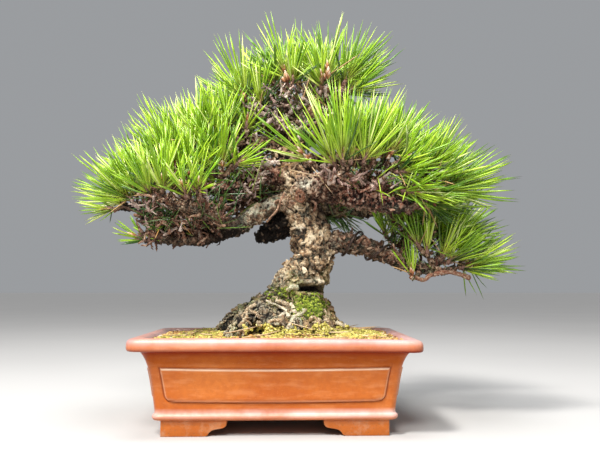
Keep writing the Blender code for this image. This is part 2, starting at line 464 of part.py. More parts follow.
def wall_back(x, z, proud):
    return warp(Vector((POT_X - x, POT_Y + (RIM_DEPTH / 2 - wall_inset(z)) + proud, z)))


def wall_right(x, z, proud):
    return warp(Vector((POT_X + (RIM_LENGTH / 2 - wall_inset(z)) + proud, POT_Y + x, z)))


def wall_left(x, z, proud):
    return warp(Vector((POT_X - (RIM_LENGTH / 2 - wall_inset(z)) - proud, POT_Y - x, z)))


def bracket(length_top, length_low, thickness, origin, along, inward, name):
    """One arm of a bracket foot, its free end cut in a small cloud curve. It runs from the corner along one wall."""
    h = FOOT_HEIGHT + 1.2
    profile = [(0, 0), (length_low, 0), (length_low + 2.8, 2.6), (length_low + 4.6, 4.0), (length_low + 9.2, 5.0),
               (length_top - 2.2, 5.8), (length_top, 7.8), (length_top, h), (0, h)]
    bm = bmesh.new()
    a = [bm.verts.new(origin + along * x + Vector((0, 0, z))) for x, z in profile]
    b = [bm.verts.new(origin + along * x + Vector((0, 0, z)) + inward * thickness) for x, z in profile]
    n = len(profile)
    bm.faces.new(a)
    bm.faces.new(list(reversed(b)))
    for i in range(n):
        bm.faces.new((a[i], b[i], b[(i + 1) % n], a[(i + 1) % n]))
    return new_object(name, bm, helper=True)


TERRACOTTA = material("terracotta", (0.62, 0.25, 0.10), 0.55)
rings = [rounded(i, z) for z, i in OUTER] + [rounded(i, z) for z, i in INNER]
pot = new_object("pot", rings_to_bm(rings), TERRACOTTA)
adds = [
    panel(79.6, 75.6, wall_front, "panel_front"),
    panel(79.6, 75.6, wall_back, "panel_back"),
    panel(54.6, 51.0, wall_right, "panel_right", 4),
    panel(54.6, 51.0, wall_left, "panel_left", 4),
]
FOOT_X, FOOT_Y = 79.3, 57.0
for sx in (-1, 1):
    for sy in (-1, 1):
        corner = Vector((POT_X + sx * FOOT_X, POT_Y + sy * FOOT_Y, 0))
        adds.append(bracket(45.6, 30.5, 10.0, corner, Vector((-sx, 0, 0)), Vector((0, -sy, 0)), f"foot_long_{sx}_{sy}"))
        adds.append(bracket(34.0, 20.0, 10.0, corner, Vector((0, -sy, 0)), Vector((-sx, 0, 0)), f"foot_short_{sx}_{sy}"))
boolean(pot, "UNION", adds)
drop(adds)


def disc_bm(x, y, z0, z1, r, n=20):
    ring = [[Vector((x + r * math.cos(2 * math.pi * k / n), y + r * math.sin(2 * math.pi * k / n), z)) for k in range(n)] for z in (z0, z1)]
    return rings_to_bm(ring)


holes = []
for k, sx in enumerate((-1, 1)):
    holes.append(new_object(f"drain_{k}", disc_bm(POT_X + sx * DRAIN_X, POT_Y, 4, 24, DRAIN_RADIUS), helper=True))
for k, x in enumerate((-8.0, 8.0)):
    holes.append(new_object(f"wire_hole_{k}", disc_bm(POT_X + x, POT_Y, 4, 24, 2.2, 10), helper=True))
boolean(pot, "DIFFERENCE", holes)
drop(holes)
smooth(pot)


# ---- wood ---------------------------------------------------------------------------
def drawn(points):
    return [(seen(u, v, y), r) for u, v, y, r in points]


# the low right branch carries a wire coil and is drawn in shorter steps
STEP = {"trunk": 16.0, "low_right": 9.0}
CURVES = {"trunk": drawn(TRUNK)}
CURVES.update({name: drawn(points) for name, points in ROOTS.items()})
CURVES.update({name: drawn(points) for name, points in LIMBS.items()})
LINES = {name: smooth_line(points, STEP.get(name, 22.0)) for name, points in CURVES.items()}
FINE = {name: smooth_line(points, 4.0) for name, points in CURVES.items()}


def nearest(line, p):
    return min(line, key=lambda q: (q[0] - p).length)


def twig_line(name):
    """The side shoot that carries a clump: it leaves its limb some way back from the clump and turns up to it."""
    limb, place, shoots = CLUMPS[name]
    hub = seen(*place)
    lean = sum((Vector(s[1]).normalized() for s in shoots), Vector((0, 0, 0))).normalized()
    line = FINE[limb]
    root, r = nearest(line[: -max(1, len(line) // 12)], hub - lean * 8)
    middle = (root + hub) / 2 - lean * 1.5
    r = min(r * 0.8, 2.3)
    return smooth_line([(root, r), (middle, max(1.7, r * 0.85)), (hub, 1.4)], 11.0)


def wood_parts(grow, prefix):
    """Every limb as its own closed tube, grown by a clearance when it is used to cut its neighbours."""
    made = []
    for i, (name, line) in enumerate(LINES.items()):
        sides = 12 if name == "trunk" else (7 if line[0][1] > 10 else (6 if line[0][1] > 7 else 5))
        bm = tube_bm(line, sides, grow, 0.05 if name == "trunk" else 0.03, seed=i)
        made.append(new_object(prefix + name, bm, helper=True))
    for clump in CLUMPS:
        line = twig_line(clump)
        if (line[0][0] - line[-1][0]).length < 3.0:
            continue
        made.append(new_object(prefix + clump, tube_bm(line, 4, grow), helper=True))
    return made


BARK = material("bark", (0.30, 0.20, 0.13), 0.9)
parts = wood_parts(0.0, "w_")
tree = parts[0]
boolean(tree, "UNION", parts[1:])
drop(parts[1:])
tree.name = "tree_wood"
tree.data.materials.clear()
tree.data.materials.append(BARK)
tree.hide_render = False
tree.display_type = "TEXTURED"
smooth(tree, 50)
cutters = wood_parts(GAP, "c_")
swollen = cutters[0]
boolean(swollen, "UNION", cutters[1:])
drop(cutters[1:])


# ---- soil, grit and moss --------------------------------------------------------------
def soil_height(x, y):
    """The surface of the soil: just under the lip at the wall, mounded up to the roots."""
    base = seen(287, 330, 0)
    d = math.hypot((x - base.x) / 66.0, (y - 2.0) / 46.0)
    return 65.2 + 6.2 * math.exp(-d * d * 1.3) + 0.5 * math.sin(x * 0.11 + 1.0) * math.cos(y * 0.13)


def inner_inset(z):
    return interpolate(INNER, z)


def inside(z, extra):
    ring = rounded(inner_inset(z) + extra, z)
    return ring


GRIT = material("pumice_grit", (0.55, 0.50, 0.42), 0.95)
SOIL = material("akadama_soil", (0.28, 0.18, 0.10), 0.95)
grit_rings = [rounded(27.0, 17.0 + GAP)] + [inside(z, GAP + 0.25) for z in (20.5, 25.0)]
grit = new_object("drainage_grit", rings_to_bm(grit_rings), GRIT)


def top_fan(bm, edge, loops, height):
    """Closes a body with a surface of shrinking loops whose height follows a function."""
    centre = Vector((sum(v.co.x for v in edge) / len(edge), sum(v.co.y for v in edge) / len(edge), 0))
    previous = edge
    for k in range(1, loops):
        t = 1 - k / loops
        ring = []
        for v in edge:
            x, y = centre.x + (v.co.x - centre.x) * t, centre.y + (v.co.y - centre.y) * t
            ring.append(bm.verts.new((x, y, height(x, y))))
        n = len(edge)
        for i in range(n):
            bm.faces.new((previous[i], previous[(i + 1) % n], ring[(i + 1) % n], ring[i]))
        previous = ring
    tip = bm.verts.new((centre.x, centre.y, height(centre.x, centre.y)))
    n = len(edge)
    for i in range(n):
        bm.faces.new((previous[i], previous[(i + 1) % n], tip))


def soil_bm():
    levels = [25.0 + GAP, 34.0, 48.0, 58.0, 63.5]
    rings = [inside(z, GAP + 0.3) for z in levels]
    bm = bmesh.new()
    made = [[bm.verts.new(p) for p in ring] for ring in rings]
    n = len(rings[0])
    for a, b in zip(made, made[1:]):
        for i in range(n):
            bm.faces.new((a[i], a[(i + 1) % n], b[(i + 1) % n], b[i]))
    bm.faces.new(list(reversed(made[0])))
    top_fan(bm, made[-1], 5, soil_height)
    return bm


soil = new_object("soil", soil_bm(), SOIL)
boolean(soil, "DIFFERENCE", [swollen])
keep_largest(soil)
smooth(soil, 50)

MOSS = material("moss", (0.42, 0.46, 0.08), 0.95)


def cushion(name, outline, thick, mat, loops=3):
    """A cushion of moss lying on the soil, its edge thin and its middle thick. outline: (x, y) points."""
    cx = sum(p[0] for p in outline) / len(outline)
    cy = sum(p[1] for p in outline) / len(outline)
    closed = []
    m = len(outline)
    for i in range(m):
        p0, p1, p2, p3 = (Vector(outline[(i + k) % m]) for k in (-1, 0, 1, 2))
        for t in (0.0, 0.5):
            closed.append(0.5 * ((2 * p1) + (p2 - p0) * t + (2 * p0 - 5 * p1 + 4 * p2 - p3) * t * t + (3 * p1 - p0 - 3 * p2 + p3) * t ** 3))
    bm = bmesh.new()
    n = len(closed)

    def ring(t, lift):
        made = []
        for p in closed:
            x, y = cx + (p.x - cx) * t, cy + (p.y - cy) * t
            made.append(bm.verts.new((x, y, soil_height(x, y) + lift(x, y))))
        return made

    def under(x, y):
        return 0.9

    low = [ring(1.0, under)] + [ring(1 - k / loops, under) for k in range(1, loops)]
    high = [ring(1.0, lambda x, y: 1.5)] + [ring(1 - k / loops, lambda x, y, k=k: 1.5 + thick * math.sin(math.pi / 2 * k / loops)) for k in range(1, loops)]
    for stack, flip in ((low, True), (high, False)):
        for a, b in zip(stack, stack[1:]):
            for i in range(n):
                q = (a[i], a[(i + 1) % n], b[(i + 1) % n], b[i])
                bm.faces.new(q if not flip else tuple(reversed(q)))
    c0 = bm.verts.new((cx, cy, soil_height(cx, cy) + 0.9))
    c1 = bm.verts.new((cx, cy, soil_height(cx, cy) + 1.5 + thick))
    for i in range(n):
        bm.faces.new((low[-1][(i + 1) % n], low[-1][i], c0))
        bm.faces.new((high[-1][i], high[-1][(i + 1) % n], c1))
        bm.faces.new((low[0][i], low[0][(i + 1) % n], high[0][(i + 1) % n], high[0][i]))
    ob = new_object(name, bm, mat)
    boolean(ob, "DIFFERENCE", [swollen])
    keep_largest(ob)
    smooth(ob, 60)
    return ob


cushion("moss_front", [(-34, -52), (-10, -55), (16, -55), (44, -53), (57, -46), (46, -38), (22, -40), (-4, -44), (-28, -43)], 2.2, MOSS)
cushion("moss_left", [(-80, -44), (-62, -52), (-44, -51), (-40, -40), (-52, -24), (-66, -10), (-80, -12), (-84, -28)], 2.0, MOSS)
cushion("moss_right", [(62, -46), (78, -42), (80, -20), (76, 6), (62, 10), (54, -6), (56, -28)], 1.6, MOSS)
cushion("moss_back_left", [(-76, 22), (-60, 14), (-40, 32), (-22, 44), (-28, 53), (-54, 53), (-76, 44)], 2.0, MOSS)
cushion("moss_back_right", [(24, 46), (44, 34), (62, 22), (78, 26), (78, 44), (58, 53), (32, 54)], 2.0, MOSS)


def pad_on_trunk(name, u, v, depth, size, mat):
    """A moss pad grown against the flare of the trunk, cut to the bark."""
    c = seen(u, v, depth)
    bm = bmesh.new()
    bmesh.ops.create_icosphere(bm, subdivisions=2, radius=1.0)
    for q in bm.verts:
        q.co = Vector((c.x + q.co.x * size[0], c.y + q.co.y * size[1], c.z + q.co.z * size[2]))
    ob = new_object(name, bm, mat)
    boolean(ob, "DIFFERENCE", [swollen])
    keep_largest(ob)
    smooth(ob, 60)
    return ob


pad_on_trunk("moss_trunk", 311, 307, -21, (9.5, 6.5, 8.0), MOSS)

# ---- drainage screens and wires -------------------------------------------------------
PLASTIC = material("screen_plastic", (0.03, 0.03, 0.03), 0.6)
WIRE = material("aluminium_wire", (0.45, 0.45, 0.46), 0.4, 1.0)
DARK_WIRE = material("brown_anodised_wire", (0.09, 0.065, 0.05), 0.45, 0.8)


def screen(name, x):
    """A square of plastic mesh over a drain hole: crossing bars, joined where they cross."""
    half, z, pitch = 15.0, 17.0 + GAP, 10.0
    bars = []
    k = 0
    c = -half
    while c <= half + 0.01:
        for swap in (False, True):
            bm = bmesh.new()
            bmesh.ops.create_cube(bm, size=1.0)
            a, b = (half * 2 + 1.2, 1.2) if not swap else (1.2, half * 2 + 1.2)
            for q in bm.verts:
                px = q.co.x * a + (0 if not swap else c)
                py = q.co.y * b + (c if not swap else 0)
                q.co = Vector((POT_X + x + px, POT_Y + py, z + 0.5 + q.co.z * (1.0 if not swap else 0.8)))
            bars.append(new_object(f"bar_{name}_{k}", bm, helper=True))
            k += 1
        c += pitch
    first = bars[0]
    boolean(first, "UNION", bars[1:])
    drop(bars[1:])
    first.name = name
    first.hide_render = False
    first.display_type = "TEXTURED"
    first.data.materials.append(PLASTIC)
    return first


screen_left = screen("drain_screen_left", -DRAIN_X)
screen_right = screen("drain_screen_right", DRAIN_X)


def wire(name, points, diameter, mat, helper=False, sides=5, grow=0.0, step=3.0):
    line = smooth_line([(Vector(p), diameter / 2) for p in points], step)
    bm = tube_bm(line, sides, grow)
    return new_object(name, bm, mat, helper)


def staple_points(x):
    """A staple of thin wire holds each screen: over the screen, down through the hole, bent out under the floor."""
    top = 17.0 + GAP + 1.0 + 0.35 + 0.6
    low = FOOT_HEIGHT - 0.35 - 0.6
    return [(POT_X + x - 13.5, POT_Y + 2.5, low), (POT_X + x - 9.8, POT_Y + 2.5, low), (POT_X + x - 7.6, POT_Y + 2.5, low + 1.6), (POT_X + x - 7.5, POT_Y + 2.5, 14.0),
            (POT_X + x - 7.5, POT_Y + 2.5, top - 1.2), (POT_X + x - 6.4, POT_Y + 2.5, top), (POT_X + x, POT_Y + 2.5, top), (POT_X + x + 6.4, POT_Y + 2.5, top),
            (POT_X + x + 7.5, POT_Y + 2.5, top - 1.2), (POT_X + x + 7.5, POT_Y + 2.5, 14.0), (POT_X + x + 7.6, POT_Y + 2.5, low + 1.6), (POT_X + x + 9.8, POT_Y + 2.5, low), (POT_X + x + 13.5, POT_Y + 2.5, low)]


staples, swollen_staples = [], []
for side, x in (("left", -DRAIN_X), ("right", DRAIN_X)):
    staples.append(wire(f"screen_wire_{side}", staple_points(x), 1.2, WIRE))
    swollen_staples.append(wire(f"cut_{side}", staple_points(x), 1.2, None, True, grow=GAP))

# the tie wire that holds the root ball: up through the two small holes and round the buried root crown
low = FOOT_HEIGHT - 0.35 - 0.8
crown = seen(287, 344, 0)
tie_points = [(POT_X - 8, POT_Y, low), (POT_X - 8, POT_Y, 12.5), (POT_X - 8, POT_Y, 20), (POT_X - 10, POT_Y - 2, 30), (POT_X - 20, POT_Y - 12, 40), (crown.x - 29, crown.y - 17, 50),
              (crown.x - 33.5, crown.y - 14, 55.0), (crown.x - 35, crown.y - 8, 56.5)]
tie_points_b = [(POT_X + 8, POT_Y, low), (POT_X + 8, POT_Y, 12.5), (POT_X + 8, POT_Y, 20), (POT_X + 10, POT_Y + 2, 30), (POT_X + 20, POT_Y + 10, 40), (crown.x + 31, crown.y + 13, 50),
                (crown.x + 34.5, crown.y + 10, 55.0), (crown.x + 36, crown.y + 4, 56.5)]
under = [(POT_X + 8, POT_Y, low)]
whole_tie = list(reversed(tie_points)) + tie_points_b
wire("root_tie_wire", whole_tie, 1.6, WIRE, step=8.0)
cut_tie = wire("cut_tie", whole_tie, 1.6, None, True, grow=GAP, step=8.0)
boolean(soil, "DIFFERENCE", [cut_tie])
keep_largest(soil)
swollen_screens = []
for name, x in (("cut_screen_left", -DRAIN_X), ("cut_screen_right", DRAIN_X)):
    bm = bmesh.new()
    bmesh.ops.create_cube(bm, size=1.0)
    for q in bm.verts:
        q.co = Vector((POT_X + x + q.co.x * 32.6, POT_Y + q.co.y * 32.6, 16.4 + (0.5 + q.co.z) * 2.5))
    swollen_screens.append(new_object(name, bm, helper=True))
boolean(grit, "DIFFERENCE", [cut_tie] + swollen_screens + swollen_staples)
keep_largest(grit)
drop([cut_tie] + swollen_screens + swollen_staples)

# training wire wound round the low right branch
branch = FINE["low_right"]


def along(line, t):
    """Point, tangent and radius at the share t of a line's length."""
    lengths = [0.0]
    for a, b in zip(line, line[1:]):
        lengths.append(lengths[-1] + (b[0] - a[0]).length)
    s = t * lengths[-1]
    for i in range(len(line) - 1):
        if lengths[i + 1] >= s:
            k = (s - lengths[i]) / (lengths[i + 1] - lengths[i])
            return line[i][0].lerp(line[i + 1][0], k), (line[i + 1][0] - line[i][0]).normalized(), line[i][1] * (1 - k) + line[i + 1][1] * k
    return line[-1][0], (line[-1][0] - line[-2][0]).normalized(), line[-1][1]


def coil_points(line, t0, t1, turns, start, clearance, steps=14):
    made = []
    total = round(turns * steps)
    for k in range(total + 1):
        t = t0 + (t1 - t0) * k / total
        p, d, r = along(line, t)
        n = Vector((0, -1, 0))
        n = (n - d * n.dot(d)).normalized()
        m = d.cross(n)
        a = start - 2 * math.pi * turns * k / total
        made.append(p + (n * math.cos(a) + m * math.sin(a)) * (r * 1.09 + clearance))
    return made


coil = coil_points(branch, 0.199, 0.545, 1.73, math.radians(110), 1.0 + GAP + 0.3)
training = wire("training_wire", coil, 2.0, DARK_WIRE, step=4.5)
swollen_training = wire("cut_training", coil, 2.0, None, True, grow=GAP, step=4.5)


# ---- foliage ----------------------------------------------------------------------------
def clump_points(name):
    """Points on the outside of a clump's needles, from the shoots' feet to the needle tips."""
    limb, place, shoots = CLUMPS[name]
    hub = seen(*place)
    pts = [hub + Vector((0, 0, 2))]
    for foot, lean, length, pairs, spread in shoots:
        base = seen(*foot)
        d = Vector(lean).normalized()
        a = d.orthogonal().normalized()
        b = d.cross(a)
        wide = math.radians(spread + 5)
        pts.append(base)
        pts.append(base + d * (length + 6.0))
        for k in range(5):
            th = 2 * math.pi * k / 5
            out = a * math.cos(th) + b * math.sin(th)
            pts.append(base + d * 4.0 + (d * math.cos(wide) + out * math.sin(wide)) * length)
            pts.append(base + d * 2.0 + (d * math.cos(wide * 1.5) + out * math.sin(wide * 1.5)) * length * 0.5)
    # the shoots are wired level, so the underside of a clump is nearly flat
    lowest = min(seen(*s[0]).z + min(0.0, Vector(s[1]).normalized().z * s[2]) for s in shoots) - 11.0
    return [Vector((p.x, p.y, max(p.z, lowest))) for p in pts]


def thinned(points, apart):
    """Leaves out points that lie close to one already kept."""
    kept = []
    for p in points:
        if all((p - q).length > apart for q in kept):
            kept.append(p)
    return kept


def hull_bm(points):
    bm = bmesh.new()
    for p in points:
        bm.verts.new(p)
    made = bmesh.ops.convex_hull(bm, input=list(bm.verts))
    junk = {g for g in made["geom_interior"] + made["geom_unused"] if isinstance(g, bmesh.types.BMVert)}
    bmesh.ops.delete(bm, geom=list(junk), context="VERTS")
    loose = [v for v in bm.verts if not v.link_faces]
    bmesh.ops.delete(bm, geom=loose, context="VERTS")
    return bm


def clipped(faces, point, normal):
    """Cuts away what lies on the normal's side of a plane from a convex body given as polygons."""
    kept, cuts = [], []
    for poly in faces:
        d = [(p - point).dot(normal) for p in poly]
        d = [0.0 if abs(k) < 1e-5 else k for k in d]
        if max(d) <= 0:
            kept.append(poly)
            continue
        if min(d) >= 0:
            continue
        new, edge = [], []
        for i, a in enumerate(poly):
            j = (i + 1) % len(poly)
            b = poly[j]
            if d[i] <= 0:
                new.append(a)
                if d[i] == 0:
                    edge.append(a)
            if d[i] < 0 < d[j] or d[j] < 0 < d[i]:
                q = a.lerp(b, d[i] / (d[i] - d[j]))
                new.append(q)
                edge.append(q)
        kept.append(new)
        if len(edge) == 2:
            cuts.append(edge)
    # the cut edges join end to end round the new face
    if len(cuts) >= 3:
        a, b = cuts.pop()
        cap = [a, b]
        while cuts:
            k = min(range(2 * len(cuts)), key=lambda i: (cuts[i // 2][i % 2] - cap[-1]).length)
            edge = cuts.pop(k // 2)
            cap.append(edge[1 - k % 2])
        cap.pop()
        if len(cap) >= 3:
            kept.append(cap)
    return kept


def faces_bm(faces):
    """Builds a closed body from polygons whose corners meet, joining corners that lie close together."""
    for merge in (0.4, 0.8, 1.3, 0.15, 2.0):
        bm = bmesh.new()
        known = []

        def vertex(p):
            for q, v in known:
                if (q - p).length < merge:
                    return v
            v = bm.verts.new(p)
            known.append((p, v))
            return v

        for poly in faces:
            ring = []
            for p in poly:
                v = vertex(p)
                if v not in ring:
                    ring.append(v)
            if len(ring) >= 3 and not bm.faces.get(ring):
                bm.faces.new(ring)
        if all(len(e.link_faces) == 2 for e in bm.edges):
            return bm
        if merge != 2.0:
            bm.free()
    return bm


def centre_of(points):
    c = Vector((0, 0, 0))
    for p in points:
        c += p
    return c / len(points)


GREENS = [material(f"needles_{k}", c, 0.5) for k, c in enumerate([(0.16, 0.34, 0.04), (0.20, 0.40, 0.05), (0.12, 0.28, 0.04)])]
clouds = {name: clump_points(name) for name in CLUMPS}
middles = {name: centre_of(pts) for name, pts in clouds.items()}
for i, name in enumerate(CLUMPS):
    start = hull_bm(thinned(clouds[name], min(15.0, 0.34 * max(s[2] for s in CLUMPS[name][2]))))
    faces = [[v.co.copy() for v in f.verts] for f in start.faces]
    start.free()
    mine = middles[name]
    for other, theirs in middles.items():
        if other == name:
            continue
        d = theirs - mine
        if d.length > 110.0:
            continue
        half = (mine + theirs) / 2 - d.normalized() * (GAP / 2 + 0.12)
        if max((p - half).dot(d) for poly in faces for p in poly) > 0:
            faces = clipped(faces, half, d.normalized())
    bm = faces_bm(faces)
    ob = new_object(name, bm, GREENS[i % 3])
    boolean(ob, "DIFFERENCE", [swollen, swollen_training] if "low_right" in name else [swollen])
    keep_largest(ob)

drop([swollen, swollen_training])
for ob in list(bpy.data.objects):
    if ob.hide_render:
        bpy.data.objects.remove(ob, do_unlink=True)

# the row's origin: under the middle of the whole plant, on the plane the feet stand on
corners = [v.co for ob in bpy.data.objects for v in ob.data.vertices]
middle_x = (min(c.x for c in corners) + max(c.x for c in corners)) / 2
middle_y = (min(c.y for c in corners) + max(c.y for c in corners)) / 2
for ob in bpy.data.objects:
    ob.data.transform(Matrix.Translation((-middle_x, -middle_y, 0.0)))
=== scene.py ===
import math
import random

import bmesh
import bpy
import numpy as np
from mathutils import Matrix, Vector
from mathutils.bvhtree import BVHTree


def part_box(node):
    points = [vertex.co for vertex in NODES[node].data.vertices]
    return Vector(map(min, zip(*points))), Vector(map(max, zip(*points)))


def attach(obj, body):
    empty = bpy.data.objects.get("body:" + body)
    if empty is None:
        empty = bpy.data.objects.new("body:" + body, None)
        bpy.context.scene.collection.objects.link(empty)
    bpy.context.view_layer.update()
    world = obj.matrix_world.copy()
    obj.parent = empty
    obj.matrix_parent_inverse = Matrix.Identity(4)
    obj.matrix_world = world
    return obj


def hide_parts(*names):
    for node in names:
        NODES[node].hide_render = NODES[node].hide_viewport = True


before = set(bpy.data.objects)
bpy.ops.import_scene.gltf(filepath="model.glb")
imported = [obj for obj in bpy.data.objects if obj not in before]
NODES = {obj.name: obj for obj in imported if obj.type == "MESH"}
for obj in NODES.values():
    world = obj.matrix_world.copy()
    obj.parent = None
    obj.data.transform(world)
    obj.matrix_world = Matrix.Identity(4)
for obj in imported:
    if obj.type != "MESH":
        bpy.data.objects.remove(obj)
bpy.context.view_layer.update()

# Lengths are in millimetres in the plan's own frame, whose origin is under the middle of the pot.
MM = 0.001
lo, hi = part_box("pot")
SHIFT = Vector(((lo[0] + hi[0]) / 2, (lo[1] + hi[1]) / 2, 0.0))

# ---------------------------------------------------------------------------------- plan
EYE = Vector((2.3, -556.0, 99.6))
EYE_YAW = math.radians(1.69)
EYE_PITCH = math.radians(5.4)
DRAWING_F = 705.0


def seen(u, v, y):
    """The point at depth y that lies under (u, v) of the front elevation, 600 wide and 450 high."""
    cy, sy = math.cos(EYE_YAW), math.sin(EYE_YAW)
    cp, sp = math.cos(EYE_PITCH), math.sin(EYE_PITCH)
    forward = Vector((sy * cp, cy * cp, sp))
    right = Vector((cy, -sy, 0.0))
    up = right.cross(forward)
    d = forward * DRAWING_F + right * (u - 300.0) + up * (225.0 - v)
    return EYE + d * ((y - EYE.y) / d.y)


TRUNK = [
    (285, 344, 0, 25), (286, 331, 0, 28), (287.5, 321, 0, 26.5), (291, 312, 0, 24.8), (294.5, 304, 0, 23.4), (296.8, 296, 0, 22.2), (299.5, 287, 0, 20.6),
    (306, 275, 0, 18.6), (312.5, 263, 0, 16.6), (315, 252, 0, 16.2), (312, 241, 0, 16.0), (309.5, 231, 0, 15.0),
    (306, 221, 0, 13.8), (301, 210, 0, 13.4), (298, 199, 1, 12.8), (296, 187, 2, 12.0), (292, 174, 3, 11.2),
    (288, 159, 3, 10.4), (288, 145, 3, 9.8), (295, 131, 3, 8.8), (307, 118, 3, 7.6), (318, 106, 2, 6.2),
    (325, 95, 0, 4.6), (328, 87, -2, 3.2), (328, 81, -4, 2.2),
]
ROOTS = {
    "root_front_left": [(288, 300, -8, 11), (266, 309, -18, 8.4), (249, 319, -26, 6.6), (236, 328, -32, 5.2), (225, 340, -36, 4)],
    "root_left": [(286, 300, 0, 12), (262, 306, 0, 8.2), (246, 312, 0, 6.8), (234, 320, 3, 5.6), (224, 330, 6, 4.6), (214, 342, 8, 3.6)],
    "root_front": [(292, 304, -10, 9), (281, 315, -24, 6.6), (272, 328, -34, 5.2), (266, 342, -40, 4)],
    "root_front_mid": [(299, 304, -12, 8), (299, 315, -27, 6), (294, 328, -37, 5), (292, 342, -42, 4)],
    "root_front_right": [(305, 304, -8, 9), (313, 315, -23, 6.6), (319, 328, -33, 5.4), (325, 343, -38, 4)],
    "root_right": [(304, 300, 0, 12), (318, 309, -2, 8.2), (327, 317, -3, 6.2), (337, 325, -4, 4.6), (348, 331, -4, 3.8), (358, 342, -4, 3.0)],
    "root_back_right": [(300, 306, 4, 11), (316, 316, 20, 8), (330, 325, 34, 6), (342, 336, 46, 4)],
    "root_back_left": [(286, 306, 4, 11), (268, 316, 22, 8), (254, 325, 36, 6), (242, 336, 48, 4)],
}
LIMBS = {
    # low left branch and its forks
    "left": [(300, 211, 0, 10), (284, 203, -4, 7.6), (268, 208, -8, 6.6), (253, 217, -11, 6.4), (238, 227, -13, 6.4), (220, 233, -14, 6.4),
             (200, 235, -14, 6.2), (180, 234, -12, 5.6), (163, 230, -10, 4.8), (148, 221, -9, 3.8), (138, 209, -9, 2.8)],
    "left_under": [(222, 234, -14, 5), (206, 239, -22, 4.6), (188, 241, -26, 4), (170, 241, -24, 3.2), (156, 240, -18, 2.4), (147, 240, -12, 1.8)],
    "left_front": [(236, 229, -13, 6), (222, 222, -28, 5.4), (205, 214, -42, 4.8), (188, 207, -50, 4), (170, 204, -50, 3.2), (156, 201, -46, 2.4)],
    "left_back": [(240, 228, -13, 6), (222, 222, 6, 5.4), (200, 214, 26, 4.8), (180, 208, 42, 4), (162, 203, 50, 3), (148, 200, 52, 2.2)],
    # the stub under the low left branch, coloured near black as painted shade
    "under_stub": [(298, 212, 5, 9), (287, 221, 9, 10.5), (277, 229, 12, 9.5), (267, 235, 14, 7), (258, 239, 16, 3.5)],
    # middle left branch
    "mid_left": [(296, 186, 2, 8), (278, 176, 0, 7), (262, 175, -2, 6.4), (246, 181, -8, 6), (230, 188, -14, 5.2), (212, 189, -20, 4.4), (196, 187, -26, 3.4), (182, 190, -32, 2.4)],
    # upper left branch
    "high_left": [(290, 156, 3, 7), (274, 146, 2, 6), (258, 143, 2, 5.4), (242, 142, 2, 4.8), (226, 146, 2, 4.2), (208, 152, 2, 3.6), (192, 160, 4, 3), (178, 166, 4, 2.2)],
    "high_left_back": [(262, 144, 2, 4.6), (250, 146, 20, 4.2), (236, 152, 38, 3.6), (218, 160, 54, 2.8), (204, 166, 62, 2)],
    # small branches below and in the crown
    "crown_left": [(290, 140, 3, 7), (279, 123, 1, 6), (267, 113, -1, 5), (256, 108, -3, 3.6), (249, 103, -4, 2.4)],
    "crown_mid": [(301, 126, 3, 5), (291, 112, -2, 4.4), (285, 98, -6, 3.4), (283, 86, -8, 2.2)],
    "crown_back": [(305, 120, 4, 5), (304, 110, 16, 4.2), (306, 99, 26, 3.2), (310, 88, 32, 2.2)],
    "crown_right": [(317, 107, 2, 4.6), (328, 105, -2, 3.8), (338, 99, -4, 3), (345, 91, -4, 2.2)],
    # front right branch, the heavy horizontal one
    "right": [(300, 190, 0, 12), (311, 187, -11, 12.2), (324, 190, -18, 10.4), (342, 194, -25, 9.0), (360, 198, -30, 8.0), (378, 202, -33, 7.2),
              (396, 205, -34, 6.2), (412, 204, -34, 5.2), (427, 199, -32, 4), (440, 193, -30, 2.6)],
    "right_front": [(334, 191, -22, 6), (336, 184, -34, 5), (340, 178, -43, 3.8), (341, 173, -47, 2.6)],
    "right_back": [(298, 168, 3, 7), (314, 163, 12, 6.4), (332, 160, 22, 5.8), (352, 160, 30, 5), (372, 163, 34, 4.2), (392, 168, 34, 3.2), (408, 172, 32, 2.2)],
    # low right branch
    "low_right": [(314, 247, 0, 12), (328, 243, -3, 8.8), (342, 242, -5, 8.2), (356, 244, -6, 7.8), (370, 248, -7, 7.2), (384, 255, -8, 6.4),
                  (397, 261, -9, 5.6), (411, 265, -10, 5.0), (425, 269, -10, 4.4), (440, 271, -9, 3.6), (454, 270, -7, 3)],
    "low_right_up": [(403, 263, -9, 4.2), (404, 250, 0, 4.0), (406, 237, 8, 3.5), (411, 228, 14, 2.6)],
    "low_right_out": [(430, 269, -10, 4), (438, 259, 0, 3.6), (446, 250, 10, 3), (451, 243, 14, 2.2)],
    # branches that grow away from the viewer
    "back_right": [(304, 206, 4, 9), (318, 205, 24, 7.4), (336, 209, 42, 6.2), (356, 212, 56, 5), (376, 213, 64, 3.6), (392, 212, 68, 2.4)],
    "back_left": [(294, 192, 6, 8.6), (280, 191, 24, 7), (262, 193, 42, 5.8), (244, 195, 56, 4.6), (226, 195, 66, 3.2), (212, 193, 70, 2.2)],
    "back_high": [(291, 150, 8, 7), (297, 145, 26, 6), (306, 142, 44, 4.8), (314, 140, 58, 3.4), (318, 138, 66, 2.2)],
}

